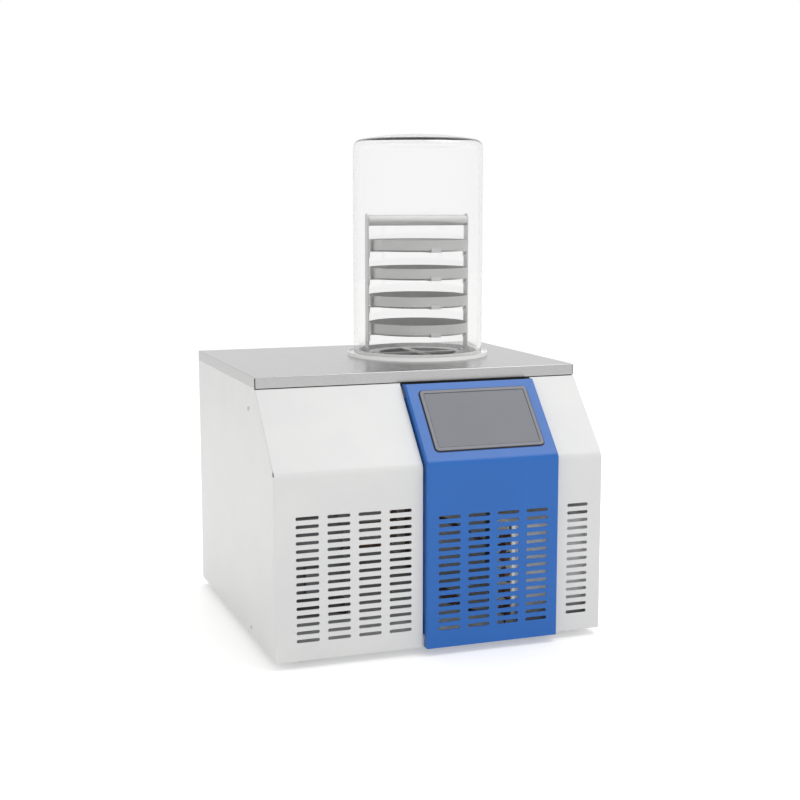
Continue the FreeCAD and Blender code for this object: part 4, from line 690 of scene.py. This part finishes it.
def addCondenser(c):
    low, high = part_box("condenser")
    left, right = low.x + c["endPlate"] * mm, high.x - c["endPlate"] * mm
    depth = high.y - low.y
    points, faces = [], []
    steps = c["ripples"] * c["rippleSteps"]
    # a fin has four rows of points: low and high on its left face, then on its right one
    for index in range(c["fins"]):
        x = left + (right - left) * (index + 0.5) / c["fins"]
        for side in (-1, 1):
            for level in (low.z, high.z):
                for step in range(steps + 1):
                    wave = math.sin(2 * math.pi * c["ripples"] * step / steps) * c["ripple"] * mm
                    y = low.y + depth * step / steps
                    points.append((x + wave + side * c["finWall"] * mm / 2, y, level))
        first = index * 4 * (steps + 1)
        rows = [[first + row * (steps + 1) + step for step in range(steps + 1)] for row in range(4)]
        for step in range(steps):
            faces.append((rows[0][step + 1], rows[0][step], rows[1][step], rows[1][step + 1]))
            faces.append((rows[2][step], rows[2][step + 1], rows[3][step + 1], rows[3][step]))
            faces.append((rows[0][step], rows[0][step + 1], rows[2][step + 1], rows[2][step]))
            faces.append((rows[1][step + 1], rows[1][step], rows[3][step], rows[3][step + 1]))
        faces.append((rows[0][0], rows[2][0], rows[3][0], rows[1][0]))
        faces.append((rows[2][-1], rows[0][-1], rows[1][-1], rows[3][-1]))
    fins = addPiece("condenserFins", points, faces, "fin_aluminium", 40)
    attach(fins, "cabinet")
    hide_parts("condenser")

    wall = c["endPlate"] * mm
    for name, x, outward in (("condenserPlateLeft", low.x, -1), ("condenserPlateRight", high.x, 1)):
        face, edge = x - outward * wall, x - outward * c["lip"] * mm
        flat = [(x, low.y), (x, high.y), (edge, high.y), (edge, high.y - wall),
                (face, high.y - wall), (face, low.y + wall), (edge, low.y + wall), (edge, low.y)]
        if outward > 0:
            flat.reverse()
        rings = [[(px, py, z) for px, py in reversed(flat)] for z in (low.z, high.z)]
        points, faces = loft(rings)
        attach(addPiece(name, points, faces, "galvanised_sheet", 30), "cabinet")

    pitch = (high.z - low.z) / (c["passes"] - 1 + 2 * c["margin"])
    radius = c["tube"] * mm
    for row in range(c["tubeRows"]):
        y = low.y + depth * (row + 0.5) / c["tubeRows"]
        path = []
        for index in range(c["passes"]):
            z = low.z + pitch * (index + c["margin"])
            start, end, outward = (low.x, high.x, 1) if index % 2 == 0 else (high.x, low.x, -1)
            path.append(Vector((start, y, z)))
            path.append(Vector((end, y, z)))
            if index < c["passes"] - 1:
                for step in range(1, c["bendSteps"]):
                    angle = math.pi * step / c["bendSteps"]
                    path.append(Vector((end + outward * math.sin(angle) * pitch / 2, y,
                                        z + (1 - math.cos(angle)) * pitch / 2)))
        points, faces = loft(tube(path, radius, c["tubeSides"]))
        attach(addPiece(f"condenserTube{row + 1}", points, faces, "copper", 40), "cabinet")


screws = {
    "heads": {"side_screws": 3.6, "rear_screws": 3.6, "rack_screws": 3.4},  # mm, radius
    "height": 2.0,
    "shank": 2.0,  # radius
    "tip": (0.7, 0.6),  # share of the shank's radius, and how far up the tip reaches
    "under": 0.96,  # where the rounding starts, as a share of the head's radius
    "rim": 0.25,  # height of the head's straight edge
    "crown": 0.55,  # flat top, as a share of the head's radius
    "domeSteps": 6,
    "socket": (0.46, 0.42),  # mouth and well, as shares of the head's radius
    "socketDeep": (0.15, 1.1),  # mouth and well
    "sides": 24,
    "turn": 0.7,  # radians from one screw to the next, as hands leave them
}


def islands(item):
    # the box of each separate solid in a node; points less than about 0.001 mm apart are one
    parent = list(range(len(item.data.vertices)))

    def root(index):
        while parent[index] != index:
            parent[index] = parent[parent[index]]
            index = parent[index]
        return index

    spots = {}
    for vertex in item.data.vertices:
        key = tuple(round(value, 6) for value in vertex.co)
        parent[root(vertex.index)] = root(spots.setdefault(key, vertex.index))
    for edge in item.data.edges:
        parent[root(edge.vertices[0])] = root(edge.vertices[1])
    groups = {}
    for vertex in item.data.vertices:
        groups.setdefault(root(vertex.index), []).append(vertex.co)
    boxes = []
    for group in groups.values():
        boxes.append((Vector([min(v[a] for v in group) for a in range(3)]),
                      Vector([max(v[a] for v in group) for a in range(3)])))
    return boxes


def screwRings(s, head, length):
    # button head with a hexagon socket, its seat at height 0 and the shank below
    turns = [2 * math.pi * k / s["sides"] for k in range(s["sides"])]

    def circle(radius, z):
        return [(radius * math.cos(angle), radius * math.sin(angle), z) for angle in turns]

    def hexagon(radius, z):
        # radius is to the corners, and the flat sides lie nearer
        ring = []
        for angle in turns:
            inFace = (angle % (math.pi / 3)) - math.pi / 6
            reach = radius * math.cos(math.pi / 6) / math.cos(inFace)
            ring.append((reach * math.cos(angle), reach * math.sin(angle), z))
        return ring

    top, shank, rim, crown = s["height"], s["shank"], s["rim"], s["crown"]
    tipWide, tipTall = s["tip"]
    mouth, well = s["socket"]
    mouthDeep, wellDeep = s["socketDeep"]
    rings = [circle(shank * tipWide, -length), circle(shank, -length + tipTall), circle(shank, 0),
             circle(head * s["under"], 0), circle(head, rim)]
    for step in range(1, s["domeSteps"]):
        angle = math.pi / 2 * step / s["domeSteps"]
        radius = head * (crown + (1 - crown) * math.cos(angle))
        rings.append(circle(radius, rim + (top - rim) * math.sin(angle)))
    rings += [circle(head * crown, top), hexagon(head * mouth, top),
              hexagon(head * well, top - mouthDeep), hexagon(head * well, top - wellDeep)]
    return rings


def addScrews(node, s):
    inRack = node == "rack_screws"
    places = islands(nodes[node])
    points, faces = [], []
    for count, (low, high) in enumerate(places):
        size = high - low
        axis = 0 if inRack else max(range(3), key=lambda a: size[a])
        middle = (low + high) / 2
        outward = 1 if middle[axis] > (bellAxis[0] if inRack else 0) else -1
        outer = high[axis] if outward > 0 else low[axis]
        length = size[axis] / mm - s["height"]
        direction = Vector([outward if a == axis else 0 for a in range(3)])
        seat = Vector(middle)
        seat[axis] = outer - outward * s["height"] * mm
        twist = direction.to_track_quat("Z", "Y").to_matrix().to_4x4()
        twist = twist @ Matrix.Rotation(s["turn"] * count, 4, "Z")
        rings = [[seat + twist @ (Vector(spot) * mm) for spot in ring]
                 for ring in screwRings(s, s["heads"][node], length)]
        morePoints, moreFaces = loft(rings, start=len(points))
        points += morePoints
        faces += moreFaces
    item = addPiece(node + "Detailed", points, faces, "screw_steel", 30)
    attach(item, "cabinet")
    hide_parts(node)
    return len(places)


shadowStrip = {
    "corner": 6.5,  # mm
    "cornerSteps": 6,
    "width": 2.2,  # seen round the frame
    "proud": 0.9,
    "bevel": (0.8, 0.7),  # where the outer edge is cut, as shares of width and proud
    "glassLift": 1.2,  # from the cover up to the middle of the glass
}


def addShadowStrip(g):
    # black strip round the screen's frame against the sloping cover: painted shade, a dark piece
    # that draws the shadow line along the frame's edge
    low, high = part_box("screen_glass")
    lean = math.radians(slope["lean"])
    up = Vector((0, math.cos(lean), math.sin(lean)))
    out = Vector((0, -math.sin(lean), math.cos(lean)))
    seat = (low + high) / 2 - out * g["glassLift"] * mm
    low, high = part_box("screen_bezel")
    halfX, halfY = (high.x - low.x) / 2, slope["frameTall"] * mm / 2

    def loop(grow, lift):
        radius = g["corner"] * mm + grow
        ring = []
        for turn, (sx, sy) in enumerate(((1, 1), (-1, 1), (-1, -1), (1, -1))):
            for step in range(g["cornerSteps"] + 1):
                angle = math.pi / 2 * (turn + step / g["cornerSteps"])
                x = sx * (halfX + grow - radius) + radius * math.cos(angle)
                y = sy * (halfY + grow - radius) + radius * math.sin(angle)
                ring.append(seat + Vector((1, 0, 0)) * x + up * y + out * lift)
        return ring

    width, proud = g["width"] * mm, g["proud"] * mm
    inward, upward = g["bevel"]
    rings = [loop(0, 0), loop(width, 0), loop(width, proud * upward), loop(width * inward, proud),
             loop(0, proud), loop(0, 0)]
    points, faces = loft(rings, capped=False)
    item = addPiece("screenShadowStrip", points, faces, "black_rubber", 40)
    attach(item, "cabinet")


shadowFills = {
    "bead": 0.78,  # mm, radius of the black bead in the plate's open corners
    "sides": 12,
    "cornerGap": 0.02,  # left between the bead and the plate's outer faces
    "edgeGap": 0.1,  # from the plate's lower edge up to the bead, and down to the dark strip
    "underTop": 2.1,  # from the plate's top down to the bead
    "strip": 3.0,  # thickness of the dark strip behind the plate's front edge
    "stripBehind": 3,  # from the plate's front face back to the strip
    "stripInset": 3.5,  # from the plate's side faces in to the strip's ends
    "tall": 4.0,
    "shelf": 4.9,  # from the plate's lower edge down to the dark shelf that shuts the top of the cover
    "shelfInset": 5,  # from the shells in to the shelf's ends
    "coverWall": 1.5,  # the cover's sheet and a little room
}


def addShadowFills(s):
    # black beads in the plate's corners, and black strips that shut the gap below its front edge:
    # painted shade, dark pieces set where the open corner seams and the gap under the plate show
    # only shade
    low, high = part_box("top_plate")
    points, faces = [], []

    def skin(rings):
        morePoints, moreFaces = loft(rings, start=len(points))
        points.extend(morePoints)
        faces.extend(moreFaces)

    bead, gap, sides = s["bead"] * mm, s["edgeGap"] * mm, s["sides"]
    reach = (s["bead"] + s["cornerGap"]) * mm
    turns = [2 * math.pi * k / sides for k in range(sides)]
    for x in (low.x + reach, high.x - reach):
        for y in (low.y + reach, high.y - reach):
            skin([[(x + bead * math.cos(a), y + bead * math.sin(a), z) for a in turns]
                  for z in (low.z + gap, high.z - s["underTop"] * mm)])

    # the strip's section is rounded at its top and at its foot
    left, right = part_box("side_shell_left")[1].x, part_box("side_shell_right")[0].x
    inset = s["stripInset"] * mm
    half, top = s["strip"] * mm / 2, low.z - gap
    middle = low.y + s["stripBehind"] * mm + half
    outline = [(middle + half * math.cos(a), top - half + half * math.sin(a))
               for a in turns[:sides // 2 + 1]]
    outline += [(middle + half * math.cos(a), top - s["tall"] * mm + half + half * math.sin(a))
                for a in turns[sides // 2:] + [0]]
    for start, end in ((low.x + inset, left), (right, high.x - inset)):
        skin([[(x, y, z) for y, z in outline] for x in (start, end)])

    # the shelf lies inside the cover, up its slope, and turns up behind the plate's edge
    lean = math.radians(slope["lean"])
    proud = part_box("side_shell_left")[0].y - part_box("front_cover")[0].y - s["coverWall"] * mm
    shelf = []
    for drop in (s["shelf"], s["shelf"] + s["strip"]):
        depth = drop * mm
        shelf.append((low.y - depth / math.tan(lean) - proud / math.sin(lean), low.z - depth))
    front, back, inset = middle - half, middle + half, s["shelfInset"] * mm
    outline = [shelf[0], (front, shelf[0][1]), (front, top), (back, top), (back, shelf[1][1]),
               shelf[1]]
    skin([[(x, y, z) for y, z in outline] for x in (left + inset, right - inset)])
    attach(addPiece("plateShadowFills", points, faces, "black_rubber", 40), "cabinet")


addBell(bell)
addCondenser(coil)
for name in screws["heads"]:
    print(name, addScrews(name, screws), "screws")
addShadowStrip(shadowStrip)
addShadowFills(shadowFills)
print("pieces ready")
